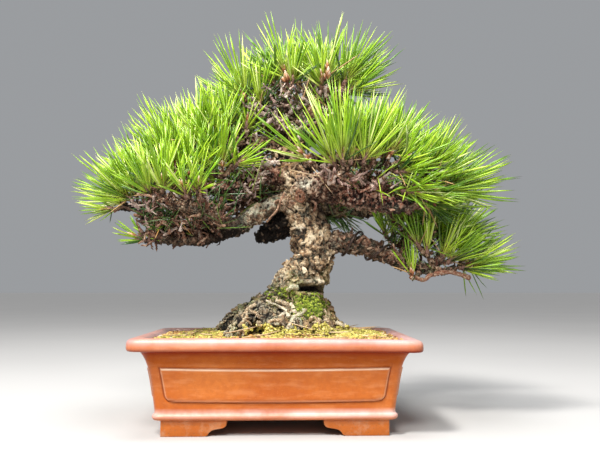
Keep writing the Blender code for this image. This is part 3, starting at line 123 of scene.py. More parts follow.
# Foliage. Each clump of needles: the limb that bears it, its hub (u, v, depth), and its shoots. A shoot is its foot
# (u, v, depth), its lean (right, away, up), the needles' length, the pairs of needles, and how wide they spread, in degrees.
CLUMPS = {
    "needles_crown_a": ("crown_mid", (285, 84, -6), [
        ((286.5, 79, -7), (-0.26, -0.05, 1.0), 46, 34, 36), ((276, 86, 2), (-0.62, 0.15, 0.8), 40, 26, 36),
        ((281, 84, 10), (-0.25, 0.45, 0.9), 42, 26, 36), ((292, 85, -10), (0.12, -0.3, 0.95), 36, 20, 30)]),
    "needles_crown_b": ("trunk", (328, 84, -5), [
        ((327.5, 78, -9), (0.0, -0.1, 1.0), 47, 34, 34), ((318, 85, 4), (-0.22, 0.15, 1.0), 42, 24, 30),
        ((331, 85, 8), (0.15, 0.4, 0.9), 42, 26, 34), ((322, 88, -12), (-0.1, -0.45, 0.85), 34, 18, 30)]),
    "needles_crown_c": ("crown_right", (346, 91, -4), [
        ((344, 83, -5), (0.55, -0.05, 0.9), 47, 34, 30), ((349, 92, -3), (0.85, -0.05, 0.6), 42, 26, 28),
        ((350, 88, 10), (0.5, 0.5, 0.75), 42, 26, 34)]),
    "needles_crown_left": ("crown_left", (250, 105, -3), [
        ((246, 100, -5), (-0.38, -0.05, 1.0), 47, 32, 30), ((260, 106, -8), (0.05, -0.15, 1.0), 37, 24, 28),
        ((241, 106, 4), (-0.75, 0.2, 0.65), 40, 24, 32), ((255, 103, 12), (-0.1, 0.5, 0.9), 40, 26, 34)]),
    "needles_crown_d": ("crown_back", (304, 90, 28), [
        ((300, 85, 26), (-0.25, 0.15, 1.0), 42, 28, 36), ((310, 84, 38), (0.0, 0.5, 0.9), 40, 28, 38), ((312, 92, 22), (0.1, 0.0, 1.0), 38, 22, 30)]),
    "needles_crown_e": ("crown_back", (336, 95, 34), [
        ((332, 88, 34), (0.2, 0.35, 0.95), 42, 28, 36), ((346, 96, 34), (0.65, 0.45, 0.7), 40, 26, 36), ((340, 92, 22), (0.4, 0.1, 0.95), 40, 22, 32)]),
    "needles_high_left_d": ("high_left", (246, 136, -6), [
        ((246, 131, -6), (0.15, -0.15, 1.0), 27, 18, 34), ((238, 128, 2), (-0.1, 0.2, 1.0), 32, 20, 34)]),
    "needles_high_left_c": ("high_left", (224, 138, -6), [
        ((228, 129, -10), (-0.05, -0.15, 1.0), 34, 26, 34), ((217, 139, -12), (-0.12, -0.2, 1.0), 40, 28, 34),
        ((214, 134, 2), (-0.15, 0.15, 1.0), 36, 24, 34)]),
    "needles_high_left_b": ("high_left", (198, 150, -2), [
        ((200, 144, -6), (-0.15, -0.1, 1.0), 42, 30, 34), ((208, 151, -16), (0.0, -0.4, 0.9), 37, 24, 34),
        ((189, 150, 2), (-0.4, 0.1, 0.95), 44, 30, 32), ((196, 146, 12), (-0.15, 0.4, 0.9), 38, 24, 34)]),
    "needles_high_left_a": ("high_left", (172, 165, 2), [
        ((175, 158, -3), (-0.5, -0.05, 0.9), 46, 32, 32), ((164, 167, -7), (-0.68, -0.15, 0.75), 43, 28, 32),
        ((180, 160, 10), (-0.3, 0.4, 0.9), 40, 26, 34), ((170, 170, -14), (-0.3, -0.4, 0.85), 38, 22, 32)]),
    "needles_left_mid_a": ("mid_left", (224, 174, -20), [
        ((222, 168, -25), (0.05, -0.3, 1.0), 40, 28, 34), ((233, 167, -24), (0.72, -0.2, 0.5), 34, 12, 42), ((212, 172, -20), (-0.1, -0.2, 1.0), 38, 24, 32)]),
    "needles_left_mid_b": ("mid_left", (190, 182, -22), [
        ((191, 177, -26), (0.12, -0.35, 0.95), 42, 32, 40), ((177, 174, -16), (-0.2, -0.15, 1.0), 42, 28, 32), ((199, 171, -12), (0.0, -0.1, 1.0), 38, 24, 32)]),
    "needles_left_front_a": ("left_front", (164, 199, -46), [
        ((163, 192, -48), (0.0, -0.35, 0.95), 40, 30, 38), ((151, 196, -44), (-0.4, -0.3, 0.85), 40, 26, 34), ((172, 193, -38), (0.15, -0.1, 1.0), 38, 22, 34)]),
    "needles_left_front_b": ("left_front", (196, 204, -46), [
        ((198, 193, -50), (0.1, -0.5, 0.85), 30, 18, 40), ((186, 196, -56), (-0.15, -0.6, 0.75), 30, 16, 38)]),
    "needles_left_tip": ("left", (132, 206, -9), [
        ((131, 200, -12), (-0.78, -0.15, 0.62), 44, 34, 34), ((137, 197, -9), (-0.38, -0.15, 1.0), 43, 30, 32),
        ((114, 209, -9), (-1.0, -0.05, 0.02), 25, 11, 22), ((124, 204, 2), (-0.85, 0.3, 0.4), 38, 24, 30)]),
    "needles_left_centre": ("left", (152, 196, 2), [
        ((150, 190, 0), (-0.38, 0.05, 1.0), 43, 28, 32), ((142, 189, 10), (-0.55, 0.3, 0.8), 40, 26, 32), ((160, 190, 10), (-0.15, 0.2, 1.0), 40, 24, 32)]),
    "needles_left_low": ("left_under", (147, 241, -12), [
        ((145, 240, -12), (-0.85, -0.1, 0.32), 24, 8, 30), ((150, 240, -14), (0.1, -0.3, 0.6), 18, 6, 50)]),
    "needles_left_back_a": ("left_back", (150, 193, 48), [
        ((148, 190, 48), (-0.55, 0.2, 0.8), 38, 28, 36), ((156, 184, 54), (-0.3, 0.5, 0.85), 36, 26, 36), ((140, 194, 40), (-0.8, 0.15, 0.5), 36, 24, 34)]),
    "needles_left_back_b": ("left_back", (186, 192, 46), [
        ((186, 186, 46), (-0.1, 0.2, 1.0), 38, 28, 36), ((196, 188, 56), (0.05, 0.6, 0.75), 36, 26, 38), ((174, 184, 40), (-0.3, 0.1, 1.0), 36, 24, 34)]),
    "needles_high_left_e": ("high_left_back", (204, 156, 56), [
        ((204, 151, 56), (-0.2, 0.3, 1.0), 38, 28, 36), ((192, 156, 62), (-0.5, 0.5, 0.75), 36, 26, 36), ((196, 150, 46), (-0.4, 0.1, 0.95), 36, 24, 34)]),
    "needles_high_left_f": ("high_left_back", (238, 144, 42), [
        ((238, 138, 42), (-0.05, 0.2, 1.0), 38, 28, 36), ((228, 138, 52), (-0.2, 0.5, 0.85), 36, 26, 36), ((248, 138, 36), (0.1, 0.1, 1.0), 36, 22, 34)]),
    "needles_right_front_a": ("right_front", (314, 165, -38), [
        ((310, 160, -43), (-0.72, -0.35, 0.6), 43, 12, 40)]),
    "needles_right_front_b": ("right_front", (343, 170, -47), [
        ((343, 163, -52), (-0.14, -0.25, 1.0), 55, 30, 30), ((335, 165, -46), (-0.45, -0.3, 0.85), 49, 24, 28), ((351, 162, -47), (0.1, -0.15, 1.0), 54, 32, 22)]),
    "needles_right_front_c": ("right", (366, 168, -42), [
        ((364, 161, -47), (0.38, -0.2, 0.95), 49, 34, 26), ((373, 162, -40), (0.3, 0.0, 1.0), 46, 28, 28), ((360, 160, -36), (0.1, 0.1, 1.0), 48, 28, 26)]),
    "needles_right_front_d": ("right", (391, 163, -36), [
        ((389, 156, -38), (0.58, -0.15, 0.8), 46, 34, 30), ((383, 158, -30), (0.35, 0.1, 0.95), 42, 24, 30), ((398, 163, -42), (0.62, -0.45, 0.35), 36, 16, 34), ((397, 172, -42), (0.78, -0.35, 0.0), 34, 18, 36)]),
    "needles_right_front_e": ("right", (408, 182, -36), [
        ((408, 175, -38), (0.5, -0.3, 0.75), 40, 28, 34), ((400, 172, -28), (0.4, 0.05, 0.95), 38, 22, 32), ((411, 186, -42), (0.65, -0.6, 0.15), 32, 16, 38), ((404, 191, -40), (0.72, -0.42, -0.12), 29, 16, 38)]),
    "needles_right_tip_a": ("right", (428, 180, -30), [
        ((426, 172, -32), (0.68, -0.1, 0.7), 42, 30, 30), ((433, 180, -36), (0.8, -0.3, 0.4), 41, 24, 30), ((420, 168, -18), (0.5, 0.3, 0.85), 40, 24, 32)]),
    "needles_right_tip_b": ("right", (443, 190, -30), [
        ((447, 186, -31), (0.93, -0.1, 0.35), 49, 28, 22), ((445, 191, -29), (0.97, -0.1, -0.05), 46, 20, 20), ((440, 186, -20), (0.8, 0.3, 0.45), 42, 22, 28), ((425, 193, -36), (0.85, -0.35, -0.1), 36, 20, 32)]),
    "needles_right_back_a": ("right_back", (354, 152, 26), [
        ((352, 146, 24), (0.1, 0.05, 1.0), 38, 28, 36), ((364, 146, 34), (0.3, 0.45, 0.85), 36, 26, 36), ((342, 148, 32), (-0.15, 0.35, 1.0), 36, 24, 34)]),
    "needles_right_back_b": ("right_back", (388, 154, 20), [
        ((388, 148, 18), (0.4, 0.0, 0.95), 38, 28, 34), ((398, 152, 28), (0.6, 0.35, 0.75), 36, 26, 36), ((378, 148, 28), (0.2, 0.3, 0.95), 36, 24, 34)]),
    "needles_right_back_c": ("right_back", (412, 172, 30), [
        ((414, 167, 28), (0.7, 0.1, 0.7), 38, 28, 34), ((420, 172, 36), (0.75, 0.45, 0.5), 36, 26, 36), ((406, 166, 38), (0.4, 0.6, 0.7), 36, 24, 34)]),
    "needles_low_right_tip": ("low_right", (461, 267, -6), [
        ((466, 265, -7), (0.95, -0.1, 0.14), 40, 34, 32), ((462, 261, 3), (0.82, 0.3, 0.4), 38, 26, 32), ((461, 268, -10), (0.9, -0.3, -0.12), 33, 14, 26)]),
    "needles_low_right_under": ("low_right", (413, 279, -18), [
        ((412, 276, -19), (-0.15, -0.1, 1.0), 26, 9, 26)]),
    "needles_low_right_a": ("low_right", (432, 258, -13), [
        ((427, 252, -15), (0.02, -0.1, 1.0), 32, 12, 16), ((441, 258, -12), (0.45, -0.15, 0.85), 36, 24, 34),
        ((449, 262, -11), (0.7, -0.25, 0.55), 35, 20, 32), ((420, 248, -12), (-0.5, -0.1, 0.8), 32, 9, 26)]),
    "needles_low_right_b": ("low_right_out", (450, 242, 10), [
        ((454, 240, 6), (0.88, 0.0, 0.28), 36, 26, 30), ((444, 248, 2), (0.5, -0.25, 0.8), 34, 24, 34), ((446, 236, 12), (0.5, 0.2, 0.8), 34, 24, 34), ((456, 234, 16), (0.8, 0.35, 0.45), 34, 24, 34), ((437, 233, 4), (0.6, -0.3, 0.5), 33, 20, 40)]),
    "needles_low_right_c": ("low_right_up", (418, 226, 12), [
        ((426, 227, 8), (0.5, -0.1, 0.85), 36, 26, 34), ((414, 226, 16), (0.0, 0.25, 1.0), 32, 22, 34),
        ((409, 240, 2), (0.1, -0.25, 1.0), 34, 22, 30), ((421, 240, 4), (0.5, -0.2, 0.8), 36, 22, 32), ((401, 224, 8), (0.1, -0.2, 0.95), 30, 18, 36)]),
    "needles_low_right_e": ("right", (438, 205, -14), [
        ((438, 208, -12), (0.85, -0.15, 0.3), 38, 24, 32), ((418, 207, -20), (0.45, -0.4, 0.3), 34, 20, 44), ((430, 212, -14), (0.6, -0.3, 0.35), 34, 18, 40), ((432, 204, -4), (0.5, 0.3, 0.6), 34, 20, 36), ((424, 201, -24), (0.75, -0.4, -0.22), 33, 18, 38)]),
    "needles_low_right_d": ("low_right_up", (388, 238, 10), [
        ((386, 236, 8), (-0.3, -0.05, 0.95), 24, 16, 36), ((394, 232, 16), (0.1, 0.2, 1.0), 28, 18, 36)]),
    "needles_back_right_a": ("back_right", (394, 210, 66), [
        ((396, 207, 66), (0.55, 0.3, 0.75), 36, 26, 36), ((402, 210, 72), (0.6, 0.6, 0.5), 34, 24, 36), ((386, 206, 72), (0.25, 0.7, 0.7), 34, 24, 36)]),
    "needles_back_right_b": ("back_right", (350, 207, 62), [
        ((350, 203, 62), (0.1, 0.35, 0.9), 34, 26, 38), ((360, 205, 70), (0.25, 0.75, 0.6), 34, 24, 36), ((340, 206, 68), (-0.2, 0.7, 0.7), 34, 24, 36),
        ((334, 210, 50), (0.6, -0.3, -0.42), 32, 16, 36), ((322, 207, 44), (0.25, -0.3, -0.5), 26, 12, 36)]),
    "needles_back_left_a": ("back_left", (214, 192, 74), [
        ((214, 189, 72), (-0.35, 0.35, 0.85), 36, 26, 36), ((206, 192, 78), (-0.6, 0.6, 0.5), 34, 24, 36), ((224, 190, 80), (-0.1, 0.8, 0.6), 34, 24, 36)]),
    "needles_back_left_b": ("back_left", (258, 191, 62), [
        ((260, 188, 62), (0.0, 0.4, 0.9), 34, 26, 38), ((250, 190, 70), (-0.25, 0.75, 0.6), 34, 24, 36), ((268, 190, 70), (0.2, 0.8, 0.6), 34, 24, 36),
        ((266, 192, 46), (-0.3, -0.4, 0.1), 28, 16, 44), ((248, 195, 48), (-0.5, -0.4, -0.2), 26, 14, 40)]),
    "needles_back_high": ("back_high", (320, 138, 68), [
        ((320, 134, 68), (0.1, 0.35, 0.95), 38, 28, 36), ((330, 136, 74), (0.4, 0.7, 0.7), 36, 24, 36), ((310, 136, 76), (-0.25, 0.75, 0.7), 36, 24, 36)]),
}


# ---------------------------------------------------------------------------------- helpers
def mesh_object(name, verts, faces, mats, smooth=True, replaces=(), slot=None, attributes=None, matindex=None):
    """A finished piece from millimetre vertices (plan frame) and polygons, riding on the root body."""
    verts = np.asarray(verts, dtype=np.float64) * MM + np.array(SHIFT)
    me = bpy.data.meshes.new(name)
    me.from_pydata([tuple(v) for v in verts], [], faces)
    return dress(name, me, mats, smooth, replaces, attributes, matindex)


def fast_mesh(name, verts, tris):
    """Builds a mesh from arrays, all faces with the same number of corners, quickly."""
    verts = np.asarray(verts, dtype=np.float32)
    tris = np.asarray(tris, dtype=np.int32)
    n = tris.shape[1]
    me = bpy.data.meshes.new(name)
    me.vertices.add(len(verts))
    me.vertices.foreach_set("co", verts.ravel())
    me.loops.add(tris.size)
    me.loops.foreach_set("vertex_index", tris.ravel())
    me.polygons.add(len(tris))
    me.polygons.foreach_set("loop_start", np.arange(0, tris.size, n, dtype=np.int32))
    me.polygons.foreach_set("loop_total", np.full(len(tris), n, dtype=np.int32))
    me.update(calc_edges=True)
    return me


def dress(name, me, mats, smooth=True, replaces=(), attributes=None, matindex=None):
    ob = bpy.data.objects.new(name, me)
    bpy.context.scene.collection.objects.link(ob)
    for m in mats if isinstance(mats, (list, tuple)) else [mats]:
        me.materials.append(m)
    if matindex is not None:
        me.polygons.foreach_set("material_index", np.asarray(matindex, dtype=np.int32))
    me.polygons.foreach_set("use_smooth", np.full(len(me.polygons), bool(smooth)))
    for key, values in (attributes or {}).items():
        a = me.color_attributes.new(name=key, type="FLOAT_COLOR", domain="POINT")
        a.data.foreach_set("color", np.asarray(values, dtype=np.float32).ravel())
    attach(ob, "root")
    if replaces:
        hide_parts(*replaces)
    return ob


def evaluated(ob):
    bpy.context.view_layer.update()
    graph = bpy.context.evaluated_depsgraph_get()
    return bpy.data.meshes.new_from_object(ob.evaluated_get(graph))


def thinned(ob, share):
    """Joins the smallest faces of a finished piece; its colour attributes are kept."""
    m = ob.modifiers.new("thin", "DECIMATE")
    m.ratio = share
    made = evaluated(ob)
    ob.modifiers.clear()
    made.name = ob.name
    ob.data = made


def coords(me):
    a = np.empty(len(me.vertices) * 3, dtype=np.float32)
    me.vertices.foreach_get("co", a)
    return a.reshape(-1, 3).astype(np.float64)


def normals(me):
    a = np.empty(len(me.vertices) * 3, dtype=np.float32)
    me.vertices.foreach_get("normal", a)
    return a.reshape(-1, 3).astype(np.float64)


def hashed(i, j, k, seed):
    """A repeatable number from 0 to 1 for each lattice cell."""
    h = (i.astype(np.int64) * 374761393 + j.astype(np.int64) * 668265263 + k.astype(np.int64) * 2147483647 + seed * 974634777) & 0xFFFFFFFF
    h = ((h ^ (h >> 13)) * 1274126177) & 0xFFFFFFFF
    h = (h ^ (h >> 16)) * 2246822519 & 0xFFFFFFFF
    h = h ^ (h >> 15)
    return (h & 0xFFFFFF) / float(0x1000000)


def value_noise(p, size, seed=0):
    """Smooth lattice noise in -1..1 at points p, with features about size across."""
    q = p / size
    c = np.floor(q).astype(np.int64)
    f = q - c
    f = f * f * (3 - 2 * f)
    total = 0.0
    for dx in (0, 1):
        for dy in (0, 1):
            for dz in (0, 1):
                w = (f[:, 0] if dx else 1 - f[:, 0]) * (f[:, 1] if dy else 1 - f[:, 1]) * (f[:, 2] if dz else 1 - f[:, 2])
                total = total + w * hashed(c[:, 0] + dx, c[:, 1] + dy, c[:, 2] + dz, seed)
    return total * 2 - 1


def fractal(p, size, seed=0, octaves=3):
    total, amp, norm = 0.0, 1.0, 0.0
    for o in range(octaves):
        total = total + amp * value_noise(p, size / 2 ** o, seed + 17 * o)
        norm += amp
        amp *= 0.5
    return total / norm


def cells(p, size, seed=0):
    """Voronoi cells: distance to the nearest seed, to the second nearest, and two random numbers of the nearest cell."""
    q = p / size
    c = np.floor(q).astype(np.int64)
    n = len(p)
    f1 = np.full(n, 9.0)
    f2 = np.full(n, 9.0)
    r1 = np.zeros(n)
    r2 = np.zeros(n)
    for dx in (-1, 0, 1):
        for dy in (-1, 0, 1):
            for dz in (-1, 0, 1):
                i, j, k = c[:, 0] + dx, c[:, 1] + dy, c[:, 2] + dz
                sx = i + hashed(i, j, k, seed)
                sy = j + hashed(i, j, k, seed + 1)
                sz = k + hashed(i, j, k, seed + 2)
                d = np.sqrt((q[:, 0] - sx) ** 2 + (q[:, 1] - sy) ** 2 + (q[:, 2] - sz) ** 2)
                nearer = d < f1
                f2 = np.where(nearer, f1, np.minimum(f2, d))
                r1 = np.where(nearer, hashed(i, j, k, seed + 3), r1)
                r2 = np.where(nearer, hashed(i, j, k, seed + 4), r2)
                f1 = np.where(nearer, d, f1)
    return f1 * size, f2 * size, r1, r2


def step(x, a, b):
    t = np.clip((x - a) / (b - a), 0, 1)
    return t * t * (3 - 2 * t)


def smooth_line(points, spacing):
    """Catmull-Rom through (vector, radius) pairs, sampled about every spacing millimetres."""
    pts = [points[0]] + list(points) + [points[-1]]
    fine = []
    for i in range(1, len(pts) - 2):
        p0, p1, p2, p3 = (Vector((*pts[k][0], pts[k][1])) for k in (i - 1, i, i + 1, i + 2))
        for k in range(12):
            t = k / 12
            q = 0.5 * ((2 * p1) + (p2 - p0) * t + (2 * p0 - 5 * p1 + 4 * p2 - p3) * t * t + (3 * p1 - p0 - 3 * p2 + p3) * t ** 3)
            fine.append((q.xyz, q.w))
    fine.append((Vector(points[-1][0]), points[-1][1]))
    length = sum((b[0] - a[0]).length for a, b in zip(fine, fine[1:]))
    count = max(2, round(length / spacing))
    out, run, k = [fine[0]], 0.0, 1
    for a, b in zip(fine, fine[1:]):
        d = (b[0] - a[0]).length
        while k < count and run + d >= length * k / count:
            s = (length * k / count - run) / d
            out.append((a[0].lerp(b[0], s), a[1] + (b[1] - a[1]) * s))
            k += 1
        run += d
    out.append(fine[-1])
    return out


def tube(line, sides, rng=None, lump=0.0, flat=0.0, tip=0.6):
    """Vertices and triangles of a tapering tube closed by a cone at each end."""
    verts, faces = [], []
    normal = None
    ph = [rng.uniform(0, 6.28) for _ in range(4)] if rng else [0] * 4
    for i, (p, r) in enumerate(line):
        a = line[max(0, i - 1)][0]
        b = line[min(len(line) - 1, i + 1)][0]
        t = (b - a).normalized()
        if normal is None:
            normal = t.orthogonal().normalized()
        normal = (normal - t * normal.dot(t)).normalized()
        side = t.cross(normal)
        for k in range(sides):
            th = 2 * math.pi * k / sides
            rr = r
            if lump:
                rr *= 1 + lump * (math.sin(2 * th + ph[0] + i * 0.30) + 0.8 * math.sin(3 * th + ph[1] - i * 0.41) + 0.5 * math.sin(5 * th + ph[2] + i * 0.8))
            verts.append(p + (normal * math.cos(th) * (1 - flat) + side * math.sin(th)) * rr)
    m = len(line)
    for i in range(m - 1):
        for k in range(sides):
            a, b = i * sides + k, i * sides + (k + 1) % sides
            faces.append((a, b, b + sides))
            faces.append((a, b + sides, a + sides))
    t0 = (line[0][0] - line[1][0]).normalized()
    t1 = (line[-1][0] - line[-2][0]).normalized()
    verts.append(line[0][0] + t0 * line[0][1] * 0.4)
    verts.append(line[-1][0] + t1 * line[-1][1] * tip)
    s, e = len(verts) - 2, len(verts) - 1
    for k in range(sides):
        faces.append(((k + 1) % sides, k, s))
        faces.append(((m - 1) * sides + k, (m - 1) * sides + (k + 1) % sides, e))
    return verts, faces


class Pile:
    """Collects many small closed meshes into one piece."""

    def __init__(self):
        self.verts, self.faces, self.tone, self.mat = [], [], [], []

    def add(self, verts, faces, tone=(0, 0, 0, 1), mat=0):
        base = len(self.verts)
        self.verts.extend(tuple(v) for v in verts)
        self.faces.extend(tuple(i + base for i in f) for f in faces)
        if isinstance(tone, tuple):
            self.tone.extend([tone] * len(verts))
        else:
            self.tone.extend(tone)
        self.mat.extend([mat] * len(faces))

    def piece(self, name, mats, smooth=True, replaces=(), slot=None):
        return mesh_object(name, self.verts, self.faces, mats, smooth, replaces, slot, {"tone": self.tone}, self.mat)


# ---------------------------------------------------------------------------------- materials
class Nodes:
    """Shorthand for building a node material."""

    def __init__(self, name):
        self.m = bpy.data.materials.new(name)
        self.m.use_nodes = True
        self.t = self.m.node_tree
        self.bsdf = self.t.nodes["Principled BSDF"]
        self.here = None

    def node(self, kind, **values):
        n = self.t.nodes.new(kind)
        for k, v in values.items():
            setattr(n, k, v)
        return n

    def link(self, a, b):
        self.t.links.new(a, b)

    def put(self, socket, value):
        if hasattr(value, "is_output") or isinstance(value, bpy.types.NodeSocket):
            self.link(value, socket)
        else:
            socket.default_value = value

    def where(self):
        if self.here is None:
            self.here = self.node("ShaderNodeTexCoord").outputs["Object"]
        return self.here

    def noise(self, scale, detail=3.0, rough=0.55, distort=0.0, vector=None):
        n = self.node("ShaderNodeTexNoise")
        self.link(vector or self.where(), n.inputs["Vector"])
        n.inputs["Scale"].default_value = scale
        n.inputs["Detail"].default_value = detail
        n.inputs["Roughness"].default_value = rough
        n.inputs["Distortion"].default_value = distort
        return n.outputs["Fac"]

    def voronoi(self, scale, feature="F1", output="Distance", vector=None):
        n = self.node("ShaderNodeTexVoronoi", feature=feature)
        self.link(vector or self.where(), n.inputs["Vector"])
        n.inputs["Scale"].default_value = scale
        return n.outputs[output]

    def ramp(self, fac, stops, mode="LINEAR"):
        n = self.node("ShaderNodeValToRGB")
        n.color_ramp.interpolation = mode
        self.link(fac, n.inputs["Fac"])
        els = n.color_ramp.elements
        while len(els) < len(stops):
            els.new(0.5)
        for e, (pos, col) in zip(els, stops):
            e.position = pos
            e.color = (*col, 1.0) if len(col) == 3 else col
        return n.outputs["Color"]

    def grey(self, fac, stops):
        return self.ramp(fac, [(p, (v, v, v)) for p, v in stops])

    def mix(self, fac, a, b, blend="MIX"):
        n = self.node("ShaderNodeMix", data_type="RGBA", blend_type=blend)
        n.clamp_factor = True
        self.put(n.inputs[0], fac)
        for s, v in ((n.inputs[6], a), (n.inputs[7], b)):
            self.put(s, (*v, 1.0) if isinstance(v, tuple) and len(v) == 3 else v)
        return n.outputs[2]

    def math(self, op, a, b=0.0):
        n = self.node("ShaderNodeMath", operation=op)
        self.put(n.inputs[0], a)
        self.put(n.inputs[1], b)
        return n.outputs[0]

    def channels(self, name):
        a = self.node("ShaderNodeAttribute", attribute_name=name)
        s = self.node("ShaderNodeSeparateColor")
        self.link(a.outputs["Color"], s.inputs["Color"])
        return s.outputs[0], s.outputs[1], s.outputs[2], a.outputs["Alpha"]

    def bump(self, height, strength, distance):
        n = self.node("ShaderNodeBump")
        n.inputs["Strength"].default_value = strength
        n.inputs["Distance"].default_value = distance
        self.link(height, n.inputs["Height"])
        self.link(n.outputs["Normal"], self.bsdf.inputs["Normal"])

    def finish(self, colour=None, rough=None, **fixed):
        if colour is not None:
            self.put(self.bsdf.inputs["Base Color"], colour if not isinstance(colour, tuple) else (*colour, 1.0))
        if rough is not None:
            self.put(self.bsdf.inputs["Roughness"], rough)
        for k, v in fixed.items():
            self.bsdf.inputs[k.replace("_", " ")].default_value = v
        return self.m


def srgb(r, g, b):
    return tuple(((c / 255) / 12.92 if c / 255 <= 0.04045 else ((c / 255 + 0.055) / 1.055) ** 2.4) for c in (r, g, b))


def bark_material(name, tones, shade):
    """Flaky bark. "bark": height in the crack field, plate's random number, redness, lichen. "mood": pale, dark
    (painted shade), moss.
    """
    k = Nodes(name)
    high, plate, red, lichen = k.channels("bark")
    pale, dark, green, _ = k.channels("mood")
    base = k.ramp(plate, [(i / (len(tones) - 1), c) for i, c in enumerate(tones)])
    base = k.mix(red, base, k.ramp(plate, [(0.0, srgb(50, 14, 10)), (0.35, srgb(104, 42, 32)), (0.65, srgb(158, 88, 72)), (0.85, srgb(208, 152, 134)), (1.0, srgb(230, 198, 184))]))
    speck = k.noise(520, 5, 0.72)
    base = k.mix(k.grey(speck, [(0.50, 0.0), (0.64, 0.6)]), base, k.mix(0.6, base, srgb(240, 224, 194)))
    blotch = k.noise(330, 5, 0.7, 0.6)
    base = k.mix(k.grey(blotch, [(0.38, 0.9), (0.47, 0.0)]), base, k.mix(0.75, base, srgb(30, 14, 8)))
    base = k.mix(k.grey(blotch, [(0.57, 0.0), (0.67, 0.5)]), base, k.mix(0.6, base, srgb(242, 230, 204)))
    base = k.mix(pale, base, k.mix(k.grey(speck, [(0.35, 1.0), (0.5, 0.0)]), srgb(236, 230, 210), srgb(176, 160, 136)))
    base = k.mix(k.grey(high, [(0.0, 1.0), (0.18, 0.95), (0.33, 0.5), (0.5, 0.0)]), base, shade)
    patch = k.math("MULTIPLY", k.grey(k.noise(430, 4, 0.65), [(0.44, 0.0), (0.56, 1.0)]), lichen)
    base = k.mix(patch, base, k.ramp(k.noise(1500, 3, 0.6), [(0.35, srgb(118, 122, 88)), (0.5, srgb(176, 178, 150)), (0.65, srgb(226, 228, 206))]))
    mossy = k.math("MULTIPLY", k.grey(k.noise(520, 4, 0.65), [(0.40, 0.0), (0.52, 1.0)]), green)
    base = k.mix(mossy, base, k.ramp(k.noise(1300, 3, 0.6), [(0.35, srgb(60, 72, 16)), (0.5, srgb(122, 142, 30)), (0.65, srgb(186, 200, 62))]))
    # painted shade: the dark channel pulls the bark toward near black
    base = k.mix(dark, base, srgb(11, 6, 5))
    k.bump(k.math("ADD", k.noise(1500, 4, 0.7), k.math("MULTIPLY", k.voronoi(640, "DISTANCE_TO_EDGE"), 1.6)), 0.9, 0.0011)
    return k.finish(base, k.grey(speck, [(0.0, 0.7), (1.0, 0.95)]), Specular_IOR_Level=0.3)


BARK = bark_material(
    "bark_trunk",
    [srgb(62, 36, 22), srgb(98, 66, 42), srgb(132, 98, 68), srgb(160, 126, 92), srgb(184, 152, 116), srgb(210, 184, 148), srgb(232, 214, 184)],
    srgb(20, 9, 5),
)
LIMB_BARK = bark_material(
    "bark_limbs",
    [srgb(34, 15, 9), srgb(60, 33, 21), srgb(86, 54, 38), srgb(112, 78, 56), srgb(144, 108, 82), srgb(184, 150, 120), srgb(220, 196, 168)],
    srgb(14, 6, 3),
)


TWIG_BARK = bark_material(
    "bark_twigs",
    [srgb(52, 38, 34), srgb(86, 66, 60), srgb(122, 98, 92), srgb(154, 130, 122), srgb(184, 162, 154), srgb(212, 194, 186), srgb(236, 224, 218)],
    srgb(18, 9, 8),
)


def needle_material():
    """Waxy needles. Channels of "tone": share of the length, needle's random number, shoot's random number, age and
    painted shade.
    """
    k = Nodes("pine_needle")
    along, each, shoot, age_and_shade = k.channels("tone")
    base = k.ramp(each, [(0.0, srgb(70, 116, 14)), (0.25, srgb(104, 152, 22)), (0.5, srgb(138, 182, 30)), (0.75, srgb(164, 200, 42)), (0.9, srgb(188, 212, 76)), (1.0, srgb(220, 230, 150))])
    base = k.mix(k.grey(shoot, [(0.0, 0.0), (1.0, 0.28)]), base, srgb(174, 208, 34))
    base = k.mix(k.grey(along, [(0.0, 0.95), (0.05, 0.8), (0.12, 0.0)]), base, srgb(190, 158, 116))
    base = k.mix(k.grey(along, [(0.12, 0.5), (0.4, 0.0)]), base, srgb(206, 220, 96))
    base = k.mix(k.grey(along, [(0.95, 0.0), (1.0, 0.7)]), base, srgb(214, 200, 120))
    # fourth channel: dark greens up to about 0.6 are painted shade, browns from 0.8 are dead needles
    base = k.mix(k.grey(age_and_shade, [(0.0, 0.0), (0.3, 0.45), (0.5, 0.9), (1.0, 1.0)]), base, k.ramp(age_and_shade, [(0.0, srgb(24, 78, 22)), (0.5, srgb(20, 62, 26)), (0.6, srgb(60, 70, 24)), (0.8, srgb(174, 126, 72)), (1.0, srgb(222, 196, 158))]))
    return k.finish(base, 0.37, Specular_IOR_Level=0.62)


NEEDLE = needle_material()


def simple(name, stops, scale, rough, bump=0.3, distance=0.0006, second=None, **fixed):
    k = Nodes(name)
    base = k.ramp(k.noise(scale, 4, 0.6), stops)
    if second:
        base = k.mix(k.grey(k.noise(scale * 3.1, 3, 0.6), [(0.45, 0.0), (0.62, 0.8)]), base, second)
    k.bump(k.noise(scale * 4, 4, 0.65), bump, distance)
    return k.finish(base, rough, **fixed)


def toned(name, stops, rough, grain=900, bump=0.4, distance=0.0005, **fixed):
    """Colour by the piece's own "tone" attribute: first channel along the ramp, second darkens."""
    k = Nodes(name)
    first, second, third, _ = k.channels("tone")
    base = k.ramp(first, stops)
    base = k.mix(k.grey(k.noise(grain, 3, 0.65), [(0.35, 0.35), (0.6, 0.0)]), base, k.mix(0.55, base, srgb(30, 18, 8)))
    base = k.mix(k.grey(second, [(0.0, 0.0), (1.0, 0.85)]), base, k.mix(0.3, srgb(34, 22, 12), base))
    k.bump(k.noise(grain * 1.7, 3, 0.6), bump, distance)
    return k.finish(base, rough, **fixed)


